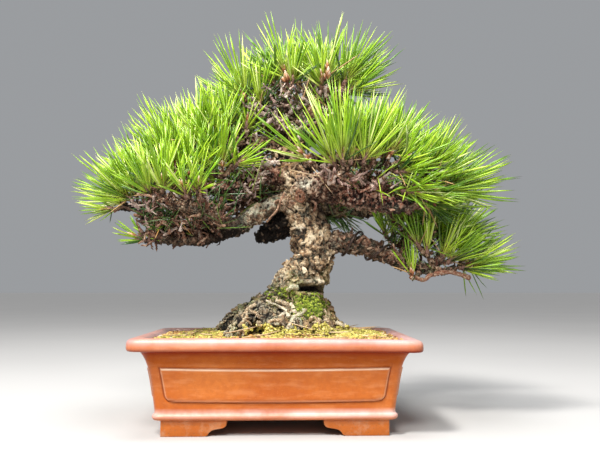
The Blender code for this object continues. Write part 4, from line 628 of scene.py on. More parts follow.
# ---------------------------------------------------------------------------------- camera
def camera():
    cam = bpy.data.cameras.new("camera")
    cam.sensor_width = 36.0
    cam.lens = DRAWING_F * 36.0 / 600.0
    cam.clip_start = 0.01
    ob = bpy.data.objects.new("camera", cam)
    bpy.context.scene.collection.objects.link(ob)
    forward = Vector((math.sin(EYE_YAW) * math.cos(EYE_PITCH), math.cos(EYE_YAW) * math.cos(EYE_PITCH), math.sin(EYE_PITCH)))
    ob.rotation_euler = forward.to_track_quat("-Z", "Y").to_euler()
    ob.location = EYE * MM + SHIFT
    bpy.context.scene.camera = ob


camera()
bpy.context.scene.view_settings.view_transform = "Standard"


def project(p):
    """The (u, v) of the front elevation over which each point lies."""
    cy, sy = math.cos(EYE_YAW), math.sin(EYE_YAW)
    cp, sp = math.cos(EYE_PITCH), math.sin(EYE_PITCH)
    forward = np.array([sy * cp, cy * cp, sp])
    right = np.array([cy, -sy, 0.0])
    up = np.cross(right, forward)
    d = p - np.array(EYE)
    depth = d @ forward
    return 300 + DRAWING_F * (d @ right) / depth, 225 - DRAWING_F * (d @ up) / depth


# ---------------------------------------------------------------------------------- lines of the wood
def drawn(points):
    return [(seen(u, v, y), r) for u, v, y, r in points]


CURVES = {"trunk": drawn(TRUNK)}
CURVES.update({n: drawn(p) for n, p in ROOTS.items()})
CURVES.update({n: drawn(p) for n, p in LIMBS.items()})
FINE = {n: smooth_line(p, 4.0) for n, p in CURVES.items()}


def twig_line(name):
    """The side shoot that carries a clump: it leaves its limb some way back from the clump and turns up to it."""
    limb, place, shoots = CLUMPS[name]
    hub = seen(*place)
    lean = sum((Vector(s[1]).normalized() for s in shoots), Vector((0, 0, 0))).normalized()
    line = FINE[limb]
    root, r = min(line[: -max(1, len(line) // 12)], key=lambda q: (q[0] - (hub - lean * 8)).length)
    middle = (root + hub) / 2 - lean * 1.5
    r = min(r * 0.8, 2.3)
    return smooth_line([(root, r), (middle, max(1.7, r * 0.85)), (hub, 1.4)], 3.0)


def line_distance(p, line):
    """Distance from each point to the nearest sample of a limb's line."""
    best = np.full(len(p), 1e9)
    for q, r in line:
        d = p - np.array(q)
        best = np.minimum(best, np.einsum("ij,ij->i", d, d))
    return np.sqrt(best)


def bump_at(p, u, v, ru, rv, front=True):
    """A soft spot that lies under (u, v) of the front elevation, on the near side only."""
    pu, pv = project(p)
    w = np.exp(-(((pu - u) / ru) ** 2 + ((pv - v) / rv) ** 2) ** 1.5)
    return w * step(-p[:, 1], -10, 4) if front else w


# ---------------------------------------------------------------------------------- wood
def remeshed(name, parts, voxel):
    verts, faces = [], []
    for v, f in parts:
        base = len(verts)
        verts.extend(v)
        faces.extend(tuple(i + base for i in q) for q in f)
    me = bpy.data.meshes.new(name)
    me.from_pydata([tuple(v) for v in verts], [], faces)
    ob = bpy.data.objects.new(name, me)
    bpy.context.scene.collection.objects.link(ob)
    m = ob.modifiers.new("skin", "REMESH")
    m.mode = "VOXEL"
    m.voxel_size = voxel
    m.adaptivity = 0.0
    made = evaluated(ob)
    bpy.data.objects.remove(ob, do_unlink=True)
    bpy.data.meshes.remove(me)
    return made


def plates(p, size, seed):
    """Voronoi plates: gap to the next plate, two random numbers of the plate, and its tilt at the point."""
    q = p / size
    c = np.floor(q).astype(np.int64)
    n = len(p)
    f1, f2 = np.full(n, 9.0), np.full(n, 9.0)
    r1, r2, tilt = np.zeros(n), np.zeros(n), np.zeros(n)
    for dx in (-1, 0, 1):
        for dy in (-1, 0, 1):
            for dz in (-1, 0, 1):
                i, j, k = c[:, 0] + dx, c[:, 1] + dy, c[:, 2] + dz
                away = np.stack([q[:, 0] - i - hashed(i, j, k, seed), q[:, 1] - j - hashed(i, j, k, seed + 1), q[:, 2] - k - hashed(i, j, k, seed + 2)], axis=1)
                d = np.sqrt(np.einsum("ij,ij->i", away, away))
                nearer = d < f1
                f2 = np.where(nearer, f1, np.minimum(f2, d))
                f1 = np.where(nearer, d, f1)
                h1, h2 = hashed(i, j, k, seed + 3), hashed(i, j, k, seed + 4)
                r1, r2 = np.where(nearer, h1, r1), np.where(nearer, h2, r2)
                t = away[:, 0] * (h1 - 0.5) + away[:, 1] * (h2 - 0.5) + away[:, 2] * (hashed(i, j, k, seed + 5) - 0.5)
                tilt = np.where(nearer, t, tilt)
    return (f2 - f1) * size, r1, r2, tilt * 2


def wood_mood(p, n, height):
    """Redness, lichen, paleness, darkness and moss of the wood at each point; the darkness is painted shade."""
    u, v = project(p)
    right = np.exp(-(line_distance(p, FINE["right"][6:]) / 13) ** 2) * step(u, 306, 318)
    mid = np.exp(-(line_distance(p, FINE["mid_left"][5:]) / 10) ** 2)
    left = np.exp(-(line_distance(p, FINE["left"]) / 15) ** 2) * step(-u, -252, -236)
    low = np.exp(-(line_distance(p, FINE["low_right"][8:]) / 11) ** 2)
    crown = step(-v, -150, -120)
    broken = 0.5 + 0.5 * step(fractal(p, 9, 77, 2), -0.25, 0.25)
    # the upper side of the left limb near the trunk gets pale lichen colour: partly lichen, partly painted highlight on
    # its top
    arm = np.exp(-(line_distance(p, FINE["left"][2:18]) / 11) ** 2) * step(u, 226, 246) * step(-u, -290, -276) * step(n[:, 2], -0.4, 0.3)
    red = np.clip(right * 0.9 + mid * 0.8 + left * 0.5 * (1 - arm) + low * 0.40 + crown * 0.15, 0, 0.95) * (0.35 + 0.65 * broken)
    foot = 1 - step(p[:, 2], 88, 128)
    sunny = step(-p[:, 0], -30, 14)
    lichen = np.clip(foot * (0.35 + 0.6 * sunny) + 0.8 * arm + 0.18 * (v > 205) * (v < 290), 0, 1) * (0.4 + 0.6 * step(fractal(p, 12, 3, 2), -0.2, 0.3))
    pale = 1.3 * bump_at(p, 307, 183, 9.5, 4.8) + 0.8 * bump_at(p, 300, 229, 5.5, 4) + 0.8 * bump_at(p, 236, 226, 4, 2.6) + 0.8 * bump_at(p, 268, 203, 7, 3.5) + 0.55 * bump_at(p, 251, 211, 8, 3.5) + 0.8 * bump_at(p, 294, 287, 5.5, 3) + 0.6 * bump_at(p, 314, 282, 11, 2.2) + 0.75 * bump_at(p, 256, 306, 10, 4.5)
    pale = np.clip(pale * (0.45 + 0.55 * step(fractal(p, 3.5, 91, 2), -0.3, 0.1)) * step(height, 0.25, 0.6), 0, 1)
    # painted shade: the stub under the low left branch, the far part of the left limb, the hollow right of the trunk's
    # top, downward faces, the underside of the middle left limb and the flare's left side with its gaps are darkened
    under = step(-line_distance(p, FINE["under_stub"][2:]), -15.5, -11.5) * step(-u, -300, -292)
    shadow = step(-p[:, 0], 18, 34) * left
    down = step(-n[:, 2], -0.05, 0.7) * step(p[:, 2], 96, 110)
    nook = bump_at(p, 325, 211, 6.5, 12)
    dark = np.clip(0.68 * left + 0.75 * nook + 0.42 * shadow + 0.97 * under + 0.42 * down + 0.25 * mid * step(-n[:, 2], 0, 0.6) + foot * sunny * (0.3 + 0.8 * step(-height, -0.85, -0.45)), 0, 0.97)
    green = np.clip(1.1 * bump_at(p, 311, 307, 14, 11) + foot * 0.5 * step(fractal(p, 10, 55, 2), 0.0, 0.35) + 0.9 * bump_at(p, 287, 292, 6, 5), 0, 1)
    return red, lichen, pale, dark, green


def ranked(a):
    """Spreads values evenly over 0 to 1, keeping their order."""
    out = np.empty(len(a))
    out[np.argsort(a, kind="stable")] = np.linspace(0, 1, len(a))
    return out


def barked(me, size, depth, seed, extra=None, lumps=1.0):
    """Pushes plates, torn layers and cracks out of a smooth limb, in millimetres; returns the two bark attributes."""
    p = coords(me)
    n = normals(me)
    warped = p + np.stack([fractal(p, size * 1.3, seed + s, 2) for s in (50, 60, 70)], axis=1) * size * 0.85
    gap, r1, r2, tilt = plates(warped * np.array([1.0, 1.0, 0.5]), size, seed)
    gap2, q1, q2, tilt2 = plates((p + (warped - p) * 0.6) * np.array([1.0, 1.0, 0.62]), size * 0.42, seed + 9)
    crack = step(fractal(p, size * 2.4, seed + 3, 2), -0.30, 0.25)
    big = 1 - (1 - step(gap, 0.0, size * 0.20)) * (0.25 + 0.75 * crack)
    small = 1 - (1 - step(gap2, 0.0, size * 0.13)) * (0.30 + 0.70 * step(fractal(p, size * 1.6, seed + 4, 2), -0.2, 0.3))
    rough = fractal(p, size * 0.42, seed + 5, 3)
    swell = fractal(p, 14, seed + 7, 2)
    t = (fractal(p * np.array([1.0, 1.0, 0.8]), size * 1.25, seed + 11, 3) + 1.0) * 3.4
    part = t - np.floor(t)
    layer = (np.floor(t) + step(part, 0.74, 1.0)) / 3.4 - 1.0
    torn = step(part, 0.52, 0.76) * (1 - step(part, 0.86, 0.98))
    lift = depth * ((r1 - 0.45) * 0.6 * big + (big - 0.8) * 1.15 + tilt * 1.45 * big + layer * 1.55 - torn * 0.4 + (q1 - 0.5) * 0.4 * small + (small - 0.75) * 0.4 + tilt2 * 0.35 + rough * 0.28) + swell * lumps
    dark_extra = 0.0
    if extra:
        more, dark_extra = extra(p, n)
        lift = lift + more
    moved = p + n * lift[:, None]
    me.vertices.foreach_set("co", moved.astype(np.float32).ravel())
    me.update()
    height = ranked(0.16 + 0.46 * big + 0.24 * small + 0.30 * rough + 0.16 * (r1 - 0.5) + 0.3 * tilt - 0.42 * torn + 0.12 * layer)
    mixed = ranked(0.34 * r2 + 0.26 * q2 + 0.40 * rough + 0.40 * fractal(p, size * 1.1, seed + 21, 2))
    red, lichen, pale, dark, green = wood_mood(moved, normals(me), height)
    dark = np.clip(dark + dark_extra, 0, 1)
    return {"bark": np.stack([height, mixed, red, lichen], axis=1), "mood": np.stack([pale, dark, green, np.ones(len(p))], axis=1)}


def to_metres(me):
    p = coords(me) * MM + np.array(SHIFT)
    me.vertices.foreach_set("co", p.astype(np.float32).ravel())
    me.update()


def tree_of(me):
    return BVHTree.FromPolygons([tuple(v) for v in coords(me)], [tuple(p.vertices) for p in me.polygons])


def crevice(p, n):
    """The deep fold under the bulge of the lower trunk, with a raised lip above it and two knobs."""
    u, v = project(p)
    front = step(-p[:, 1], -6, 5) * step(u, 294, 303)
    fold = np.exp(-(((v - 288.6 - 0.04 * (u - 312)) / 3.0) ** 4)) * front
    lip = np.exp(-((v - 282) / 2.8) ** 2) * front
    knob = bump_at(p, 294, 287, 5.5, 3.2)
    # the second value darkens the fold as painted shadow under the bulge
    return -7.0 * fold + 1.7 * lip + 1.2 * knob + 0.9 * bump_at(p, 300, 229, 6, 5), 1.0 * fold


rng = random.Random(11)
trunk_parts = [tube(smooth_line(CURVES["trunk"], 4.0), 28, rng, 0.035)]
for n in ROOTS:
    trunk_parts.append(tube(smooth_line(CURVES[n], 3.0), 14, rng, 0.10))
    # each root forks into a few strands
    line = smooth_line(CURVES[n], 4.0)
    for k in range(3):
        i = rng.randint(2, max(3, len(line) // 2))
        here, r = line[i]
        d = (line[min(i + 3, len(line) - 1)][0] - here).normalized()
        side = d.cross(Vector((0, 0, 1))).normalized() * rng.choice((-1, 1))
        a = here + side * r * 0.5 + Vector((0, 0, r * 0.2))
        b = a + d * 10 + side * rng.uniform(2, 7) + Vector((0, 0, -2))
        c = b + d * 12 + side * rng.uniform(1, 7) + Vector((0, 0, -6))
        trunk_parts.append(tube(smooth_line([(a, r * 0.55), (b, r * 0.42), (c, 1.6)], 2.5), 10, rng, 0.12))
heavy = []
for n in ("left", "right", "low_right", "mid_left", "high_left", "right_back", "back_right", "back_left", "back_high", "crown_left", "under_stub"):
    heavy.append(tube(smooth_line(CURVES[n], 3.0), 14, rng, 0.06))
trunk_mesh = remeshed("trunk", trunk_parts, 0.8)
trunk_attr = barked(trunk_mesh, 6.2, 1.7, 4, crevice, 1.2)
TRUNK_TREE = tree_of(trunk_mesh)
limb_mesh = remeshed("limbs", heavy, 0.8)
limb_attr = barked(limb_mesh, 5.0, 1.45, 104, None, 0.9)
LIMB_TREE = tree_of(limb_mesh)


def on_wood(u, v, trees=None):
    """The first point of the wood met along the sight line through (u, v)."""
    aim = (seen(u, v, 0.0) - EYE).normalized()
    hits = [t.ray_cast(EYE, aim) for t in (trees or (TRUNK_TREE, LIMB_TREE))]
    hits = [h for h in hits if h[0] is not None]
    best = min(hits, key=lambda h: h[3])
    return best[0], best[1]


def flakes(meshes, count, seed, smallest, largest, keep=None):
    """Loose flakes of bark that stand a little off the surface."""
    r = np.random.default_rng(seed)
    P = np.concatenate([coords(m) for m in meshes])
    N = np.concatenate([normals(m) for m in meshes])
    pick = r.choice(len(P), count, replace=False)
    P, N = P[pick], N[pick]
    if keep is not None:
        ok = keep(P, N)
        P, N = P[ok], N[ok]
    m = len(P)
    t = r.normal(size=(m, 3))
    t -= N * np.einsum("ij,ij->i", t, N)[:, None]
    t /= np.linalg.norm(t, axis=1)[:, None]
    b = np.cross(N, t)
    size = smallest + (largest - smallest) * r.random(m) ** 2.2
    K = 6
    ang = (np.arange(K) / K * 2 * np.pi)[None, :] + r.uniform(-0.35, 0.35, (m, K))
    rad = size[:, None] * r.uniform(0.5, 1.25, (m, K))
    long = r.uniform(0.35, 1.0, m)[:, None]
    flat = t[:, None, :] * (np.cos(ang) * rad)[:, :, None] + b[:, None, :] * (np.sin(ang) * rad * long)[:, :, None]
    tiltdir = r.normal(size=(m, 2)) * 0.26
    tilt = (np.cos(ang) * rad) * tiltdir[:, :1] + (np.sin(ang) * rad) * tiltdir[:, 1:]
    h = r.uniform(0.0, 0.6, m)
    top = P[:, None, :] + flat + N[:, None, :] * (h[:, None] + tilt)[:, :, None]
    bottom = P[:, None, :] + flat * 0.75 - N[:, None, :] * 1.1
    mid = P + N * (h + 0.14 * size)[:, None]
    verts = np.concatenate([top, bottom, mid[:, None, :]], axis=1)
    tri = []
    for k in range(K):
        j = (k + 1) % K
        tri += [(k, j, 2 * K), (k, K + k, K + j), (k, K + j, j)]
    tri += [(K, K + j + 1, K + j) for j in range(1, K - 1)]
    F = (np.array(tri)[None, :, :] + (np.arange(m) * (2 * K + 1))[:, None, None]).reshape(-1, 3)
    each = r.random(m)
    height = np.concatenate([np.full((m, K), 0.85), np.full((m, K), 0.25), np.full((m, 1), 1.0)], axis=1)
    flatp = verts.reshape(-1, 3)
    red, lichen, pale, dark, green = wood_mood(flatp, np.repeat(N, 2 * K + 1, axis=0), height.reshape(-1))
    whole = np.repeat(each, 2 * K + 1)
    bark = np.stack([height.reshape(-1), whole, red, lichen], axis=1)
    mood = np.stack([np.clip(pale, 0, 1), np.clip(dark * 0.7, 0, 1), green, np.ones(len(flatp))], axis=1)
    return flatp, F, {"bark": bark, "mood": mood}


def flake_piece(name, meshes, count, seed, smallest, largest, keep=None, mat=None):
    verts, tris, attributes = flakes(meshes, count, seed, smallest, largest, keep)
    me = fast_mesh(name, verts * MM + np.array(SHIFT), tris)
    return dress(name, me, mat or BARK, False, (), attributes)


def open_wood(P, N):
    """Leaves the deep fold free of flakes."""
    u, v = project(P)
    return ~((np.abs(v - 288) < 4.0) & (u > 296) & (P[:, 1] < 0)) & (P[:, 2] > 62)


flake_piece("trunk_flakes", [trunk_mesh], 1700, 5, 0.8, 3.2, open_wood)
flake_piece("limb_flakes", [limb_mesh], 1700, 6, 0.8, 2.6, None, LIMB_BARK)

# side limbs and the shoots that carry the clumps
light_parts = []
for n in ("left_under", "left_front", "left_back", "high_left_back", "crown_mid", "crown_back", "crown_right", "right_front", "low_right_up", "low_right_out"):
    light_parts.append(tube(smooth_line(CURVES[n], 2.5), 10, rng, 0.08))
for name, (limb, place, shoots) in CLUMPS.items():
    line = twig_line(name)
    light_parts.append(tube(line, 8, rng, 0.10))
    inner = line[-2][0]
    for foot, lean, length, pairs, spread in shoots:
        base = seen(*foot)
        d = Vector(lean).normalized()
        if (base - inner).length > 2:
            light_parts.append(tube(smooth_line([(inner, 1.8), ((inner + base) / 2 - d * 1.2, 1.8), (base, 1.9), (base + d * 3, 1.7)], 2.0), 7, rng, 0.10))
light_mesh = remeshed("branchlets", light_parts, 0.7)
light_attr = barked(light_mesh, 2.6, 0.85, 31, None, 0.3)
flake_piece("branchlet_flakes", [light_mesh], 1500, 8, 0.6, 1.5, None, LIMB_BARK)


def spur(pile, start, d, length, radius, r, forks=1, bark=0.5):
    """A short knobbly spur with swollen joints, forking once or twice."""
    points = [(start, radius)]
    p = start.copy()
    steps = max(3, int(length / 2.2))
    for i in range(steps):
        d = (d + Vector((r.uniform(-1, 1), r.uniform(-1, 1), r.uniform(-1, 1))) * 0.32 + Vector((0, 0, 0.03))).normalized()
        p = p + d * (length / steps)
        rr = radius * (1 - 0.45 * (i + 1) / steps) * r.uniform(0.75, 1.25)
        points.append((p.copy(), rr))
        if forks > 0 and i in (steps // 3, (2 * steps) // 3) and r.random() < 0.75:
            side = (d.cross(Vector((r.uniform(-1, 1), r.uniform(-1, 1), r.uniform(-1, 1)))).normalized() + d * 0.5).normalized()
            spur(pile, p.copy(), side, length * r.uniform(0.3, 0.55), radius * 0.7, r, forks - 1, bark)
    line = smooth_line(points, 1.6)
    line = [(q, max(0.35, s * r.uniform(0.72, 1.32))) for q, s in line]
    verts, faces = tube(line, 5, r, 0.16, tip=0.9)
    tint = r.random()
    tones = []
    for i in range(len(verts)):
        tones.append((r.uniform(0.35, 1.0), min(1, max(0, 0.6 * tint + 0.4 * r.random())), bark, 0.0))
    pile.add(verts, faces, tones)


spurs = Pile()
rng = random.Random(23)
for name, line in FINE.items():
    if name in ROOTS or name == "trunk":
        continue
    dense = 3.4 if name in ("left", "left_under", "left_front") else 7.5
    fine = smooth_line(CURVES[name], dense)
    for q, r in fine[max(2, int(14 / dense)):]:
        bare = name == "left" and q.x > seen(232, 220, q.y).x
        for _ in range(1 if dense > 4 or bare else 2):
            if rng.random() < (0.75 if bare else 0.18):
                continue
            i = min(range(len(line)), key=lambda k: (line[k][0] - q).length)
            along = (line[min(i + 1, len(line) - 1)][0] - line[max(i - 1, 0)][0]).normalized()
            out = along.cross(Vector((rng.uniform(-1, 1), rng.uniform(-1, 1), rng.uniform(-1, 1)))).normalized()
            if rng.random() < 0.5 and out.z < 0:
                out.z = -out.z
            d = (out + along * rng.uniform(-0.2, 0.7)).normalized()
            size = rng.uniform(5, 15) if dense < 4 else rng.uniform(3, 9)
            if out.z < -0.15:
                size = min(size, rng.uniform(2.5, 5.5))
            spur(spurs, q + out * (r * 0.7), d, size, min(r * 0.45, rng.uniform(0.9, 1.9)), rng, 1, 0.45)
# the dense mass of spurs and stubs over the low left branch
for _ in range(210):
    u = rng.uniform(146, 262)
    v = rng.uniform(200, 240) if u < 225 else rng.uniform(188, 216)
    y = rng.uniform(-40, 18) if u < 225 else rng.uniform(2, 30)
    p = seen(u, v, y)
    spur(spurs, p, Vector((rng.uniform(-1, 0.6), rng.uniform(-0.7, 0.5), rng.uniform(-0.5, 0.8))).normalized(), rng.uniform(7, 16), rng.uniform(0.9, 2.0), rng, 1, 0.4)
pale_twigs = Pile()
for i in range(70):
    u = rng.uniform(136, 264)
    v = rng.uniform(198, 234) if u < 228 else rng.uniform(172, 208)
    p = seen(u, v, rng.uniform(-50, -34) if u < 228 else rng.uniform(-24, -6))
    low = v > 210 and i % 5 != 0
    spur(spurs if low else pale_twigs, p, Vector((rng.uniform(-1, 0.7), rng.uniform(-0.7, 0.3), rng.uniform(-0.3, 0.9))).normalized(), rng.uniform(5, 12), rng.uniform(0.7, 1.3), rng, 1, 0.35 if low else -rng.uniform(0.0, 0.35))
# the shaded middle, behind the crown's lowest branches
for i in range(64):
    p = seen(rng.uniform(222, 268), rng.uniform(138, 176), rng.uniform(4, 44) if i % 3 else rng.uniform(-16, 2))
    d = Vector((rng.uniform(-0.8, 0.8), rng.uniform(-0.8, 0.3), rng.uniform(-0.3, 0.9))).normalized()
    spur(spurs if i % 3 else pale_twigs, p, d, rng.uniform(6, 12), rng.uniform(1.0, 2.0), rng, 1, 0.3 if i % 3 else -0.2)
# twigs between the heavy right branch and its foliage
for i in range(132):
    u = rng.uniform(322, 394)
    v = rng.uniform(164 + (u - 322) * 0.30, 190 + (u - 322) * 0.08)
    front = i % 3 == 0 and v < 188
    p = seen(u, v, rng.uniform(-48, -30) if front else rng.uniform(-40, 2))
    d = Vector((rng.uniform(-0.6, 0.9), rng.uniform(-0.7, 0.5), rng.uniform(-0.5, 0.8))).normalized()
    spur(pale_twigs if front else spurs, p, d, rng.uniform(7, 15), rng.uniform(0.9, 2.1), rng, 1, -0.35 if front else 0.5)
for _ in range(26):
    u, v = rng.uniform(392, 440), rng.uniform(222, 266)
    p = seen(u, v, rng.uniform(-12, 12))
    spur(spurs, p, Vector((rng.uniform(-0.6, 0.9), rng.uniform(-0.7, 0.5), rng.uniform(-0.2, 0.8))).normalized(), rng.uniform(7, 13), rng.uniform(0.9, 1.7), rng, 1, 0.4)
# rugged base of the crown: pale knobbly twigs in front, darker ones within as painted shade
for i in range(150):
    u, v = rng.uniform(256, 348), rng.uniform(90, 136)
    if v > 112 + (u - 256) * 0.45 and i % 2:
        continue
    front = i % 3 != 0
    p = seen(u, v, rng.uniform(-14, 6) if front else rng.uniform(6, 40))
    d = Vector((rng.uniform(-0.8, 0.8), rng.uniform(-0.8, 0.3), rng.uniform(-0.2, 0.9))).normalized()
    spur(pale_twigs if front else spurs, p, d, rng.uniform(6, 13), rng.uniform(0.7, 1.6), rng, 1, -rng.uniform(0.0, 0.4) if front else 0.25)
# dark spurs further back that fill the gaps as painted shade
for i in range(70):
    p = seen(rng.uniform(260, 345), rng.uniform(98, 138), rng.uniform(8, 40))
    spur(spurs, p, Vector((rng.uniform(-0.8, 0.8), rng.uniform(-0.8, 0.3), rng.uniform(-0.2, 0.9))).normalized(), rng.uniform(7, 13), rng.uniform(1.2, 2.3), rng, 0, 0.1)
for i in range(70):
    t = rng.random()
    p = seen(250 + 50 * t, 106 + 30 * t + rng.uniform(-4, 4), rng.uniform(-12, 4))
    spur(pale_twigs, p, Vector((rng.uniform(-0.8, 0.8), rng.uniform(-0.9, 0.1), rng.uniform(-0.4, 0.8))).normalized(), rng.uniform(4, 9), rng.uniform(1.0, 2.0), rng, 1, -rng.uniform(0.0, 0.3))
# bare twigs that stand out against the trunk
for path, radius in (
    ([(284.5, 193, -14), (280, 202, -18), (277, 210, -20), (271, 217, -19), (267, 222, -15)], 0.85),
    ([(311, 200, -16), (314.5, 202, -21), (316, 206, -22), (314, 211, -19)], 1.1),
    ([(114, 212, -12), (123, 207, -14), (134, 211, -15), (143, 214, -16), (146, 219, -16)], 0.9),
    ([(147, 222, -20), (172, 221, -34), (200, 220, -40), (213, 218, -40)], 0.7),
    ([(370, 243, -14), (364, 236, -15), (358, 243, -16)], 1.0),
    ([(412, 276, -16), (424, 280, -15), (431, 275, -14), (449, 272, -14), (470, 278, -14)], 1.7),
):
    line = smooth_line([(seen(*q), radius) for q in path], 1.4)
    verts, faces = tube([(q, s * rng.uniform(0.85, 1.2)) for q, s in line], 7, rng, 0.08)
    spurs.add(verts, faces, [(0.9, rng.uniform(0.4, 0.8), 0.35, 0.0)] * len(verts))


def strand(pile, points, r, tint, lichen):
    """A root laid over the flare: points with radii."""
    line = smooth_line(points, 1.3)
    line = [(q, max(0.4, w * r.uniform(0.8, 1.25))) for q, w in line]
    verts, faces = tube(line, 7, r, 0.10, tip=0.8)
    pile.add(verts, faces, [(r.uniform(0.22, 1.0), clamp(tint + r.uniform(-0.25, 0.2)), lichen, 0.0) for _ in verts])


def clamp(x):
    return min(1.0, max(0.0, x))


strands = Pile()
rng = random.Random(37)
base_x = seen(289, 320, 0).x
made = 0
vertices = coords(trunk_mesh)
chosen = [i for i in range(0, len(vertices), 7) if 70 < vertices[i][2] < 99]
rng.shuffle(chosen)
for i in chosen:
    if made >= 105:
        break
    p = Vector(vertices[i])
    out = Vector((p.x - base_x, p.y, 0))
    if out.length < 16:
        continue
    here, n, _, _ = TRUNK_TREE.find_nearest(p)
    d = out.normalized() * 0.7 + Vector((0, 0, -0.8)) + Vector((rng.uniform(-0.6, 0.6), rng.uniform(-0.6, 0.6), 0))
    size = rng.choice((0.6, 0.8, 1.0, 1.3, 1.7))
    points = []
    for k in range(rng.randint(4, 13)):
        points.append((here + n * size * 0.35, size * (1 - 0.04 * k)))
        d = (d - n * d.dot(n)).normalized() + Vector((rng.uniform(-1, 1), rng.uniform(-1, 1), rng.uniform(-1, 1))) * 0.28
        here, n, _, _ = TRUNK_TREE.find_nearest(here + d.normalized() * 2.2)
        if here.z < 66:
            break
    if len(points) < 3:
        continue
    left = clamp(0.5 - (p.x - base_x) / 50.0)
    strand(strands, points, rng, rng.uniform(0.1, 0.78), clamp(left * rng.uniform(0.1, 0.9)))
    made += 1
for path, size, tint, lichen in (
    ([(257, 300), (251, 303), (245, 306), (240, 311), (236, 317), (231, 323), (226, 329)], 2.0, 0.95, 0.55),
    ([(256, 304), (250, 308), (247, 313), (245, 319), (240, 326)], 1.5, 0.7, 0.35),
    ([(250, 311), (256, 314), (260, 320)], 1.2, 0.4, 0.3),
    ([(266, 301), (274, 304), (282, 308), (291, 313)], 0.9, 1.0, 0.1),
    ([(305, 310), (300, 314), (295, 318), (291, 324), (288, 329)], 2.1, 0.9, 0.9),
    ([(298, 318), (300, 323), (303, 330)], 2.4, 0.1, 0.8),
    ([(291, 328), (293, 322), (296, 320)], 2.0, 0.05, 0.9),
    ([(309, 321), (314, 318), (320, 321)], 1.6, 0.7, 0.1),
    ([(281, 316), (285, 314), (289, 317)], 1.5, 1.0, 0.4),
    ([(268, 322), (275, 320), (282, 321)], 1.3, 0.7, 0.1),
    ([(236, 313), (231, 316), (226, 319)], 0.7, 0.9, 0.2),
    ([(245, 303), (243, 300), (240, 299)], 0.5, 0.9, 0.2),
    ([(292, 304), (293, 308), (295, 312)], 1.8, 0.95, 0.05),
    ([(276, 300), (283, 303), (289, 306)], 1.7, 0.8, 0.05),
    ([(318, 300), (322, 306), (326, 312), (332, 320)], 0.8, 0.7, 0.1),
    ([(336, 322), (342, 325), (347, 329)], 1.5, 0.95, 0.3),
    ([(289, 290), (292.5, 287), (296.5, 288.5)], 1.9, 0.9, 0.95),
):
    points = []
    for u, v in path:
        try:
            p, n = on_wood(u, v, (TRUNK_TREE,))
            if points and (p - points[-1][0]).length > 16:
                continue
            points.append((p + n * size * 0.4, size))
        except ValueError:
            continue
    if len(points) >= 3:
        strand(strands, points, rng, tint, lichen)

# the ringed scar of a branch cut long ago
p, n = on_wood(300.7, 196.4, (TRUNK_TREE, LIMB_TREE))
a = n.orthogonal().normalized()
b = n.cross(a)
for size, thick in ((4.1, 1.35), (2.0, 0.8)):
    loop = [(p + n * 0.5 + (a * math.cos(t * math.pi / 8) + b * math.sin(t * math.pi / 8) * 1.05) * size * rng.uniform(0.92, 1.08), thick * rng.uniform(0.8, 1.2)) for t in range(16)]
    verts, faces = tube(loop + [loop[0]], 7, rng, 0.1)
    strands.add(verts, faces, [(0.75, rng.uniform(0.3, 0.6), -0.6, 0.0)] * len(verts))


def wooden(pile, name, flare=False, mat=None):
    """Turns a pile of spurs into a bark piece."""
    verts = np.array(pile.verts)
    tone = np.array(pile.tone)
    me = bpy.data.meshes.new(name)
    me.from_pydata([tuple(v) for v in verts * MM + np.array(SHIFT)], [], pile.faces)
    red, lichen, pale, dark, green = wood_mood(verts, np.tile(np.array([0.0, 0, 1]), (len(verts), 1)), tone[:, 0])
    if flare:
        # negative marks the reddish rings of the scar
        bark = np.stack([tone[:, 0], tone[:, 1], np.where(tone[:, 2] < 0, -tone[:, 2], 0.0), np.clip(tone[:, 2], 0, 1)], axis=1)
        pale_flare = np.clip(tone[:, 1] * 1.6 - 1.05, 0, 0.6)
        green = green * (verts[:, 2] < 110)
        mood = np.stack([pale_flare, dark * 0.55 if mat else np.zeros(len(verts)), green * 0.3, np.ones(len(verts))], axis=1)
        return dress(name, me, mat or BARK, True, (), {"bark": bark, "mood": mood})
    bark = np.stack([tone[:, 0], tone[:, 1], np.clip(red * 0.8 + tone[:, 2] * 0.6, 0, 1), lichen * 0.3], axis=1)
    mood = np.stack([np.zeros(len(verts)), dark * 0.9, np.zeros(len(verts)), np.ones(len(verts))], axis=1)
    return dress(name, me, LIMB_BARK, True, (), {"bark": bark, "mood": mood})


wooden(spurs, "spurs")
wooden(strands, "root_strands", True)
pale_twigs.tone = [(a, 0.30 + 0.70 * b, c, d) for a, b, c, d in pale_twigs.tone]
wooden(pale_twigs, "pale_twigs", True, TWIG_BARK)

for me, name, attributes, nodes, share in (
    (trunk_mesh, "trunk_and_roots", trunk_attr, ("tree_wood",), 0.64),
    (limb_mesh, "limbs", limb_attr, (), 0.55),
    (light_mesh, "branchlets", light_attr, (), 0.38),
):
    to_metres(me)
    thinned(dress(name, me, BARK if name == "trunk_and_roots" else LIMB_BARK, True, nodes, attributes), share)


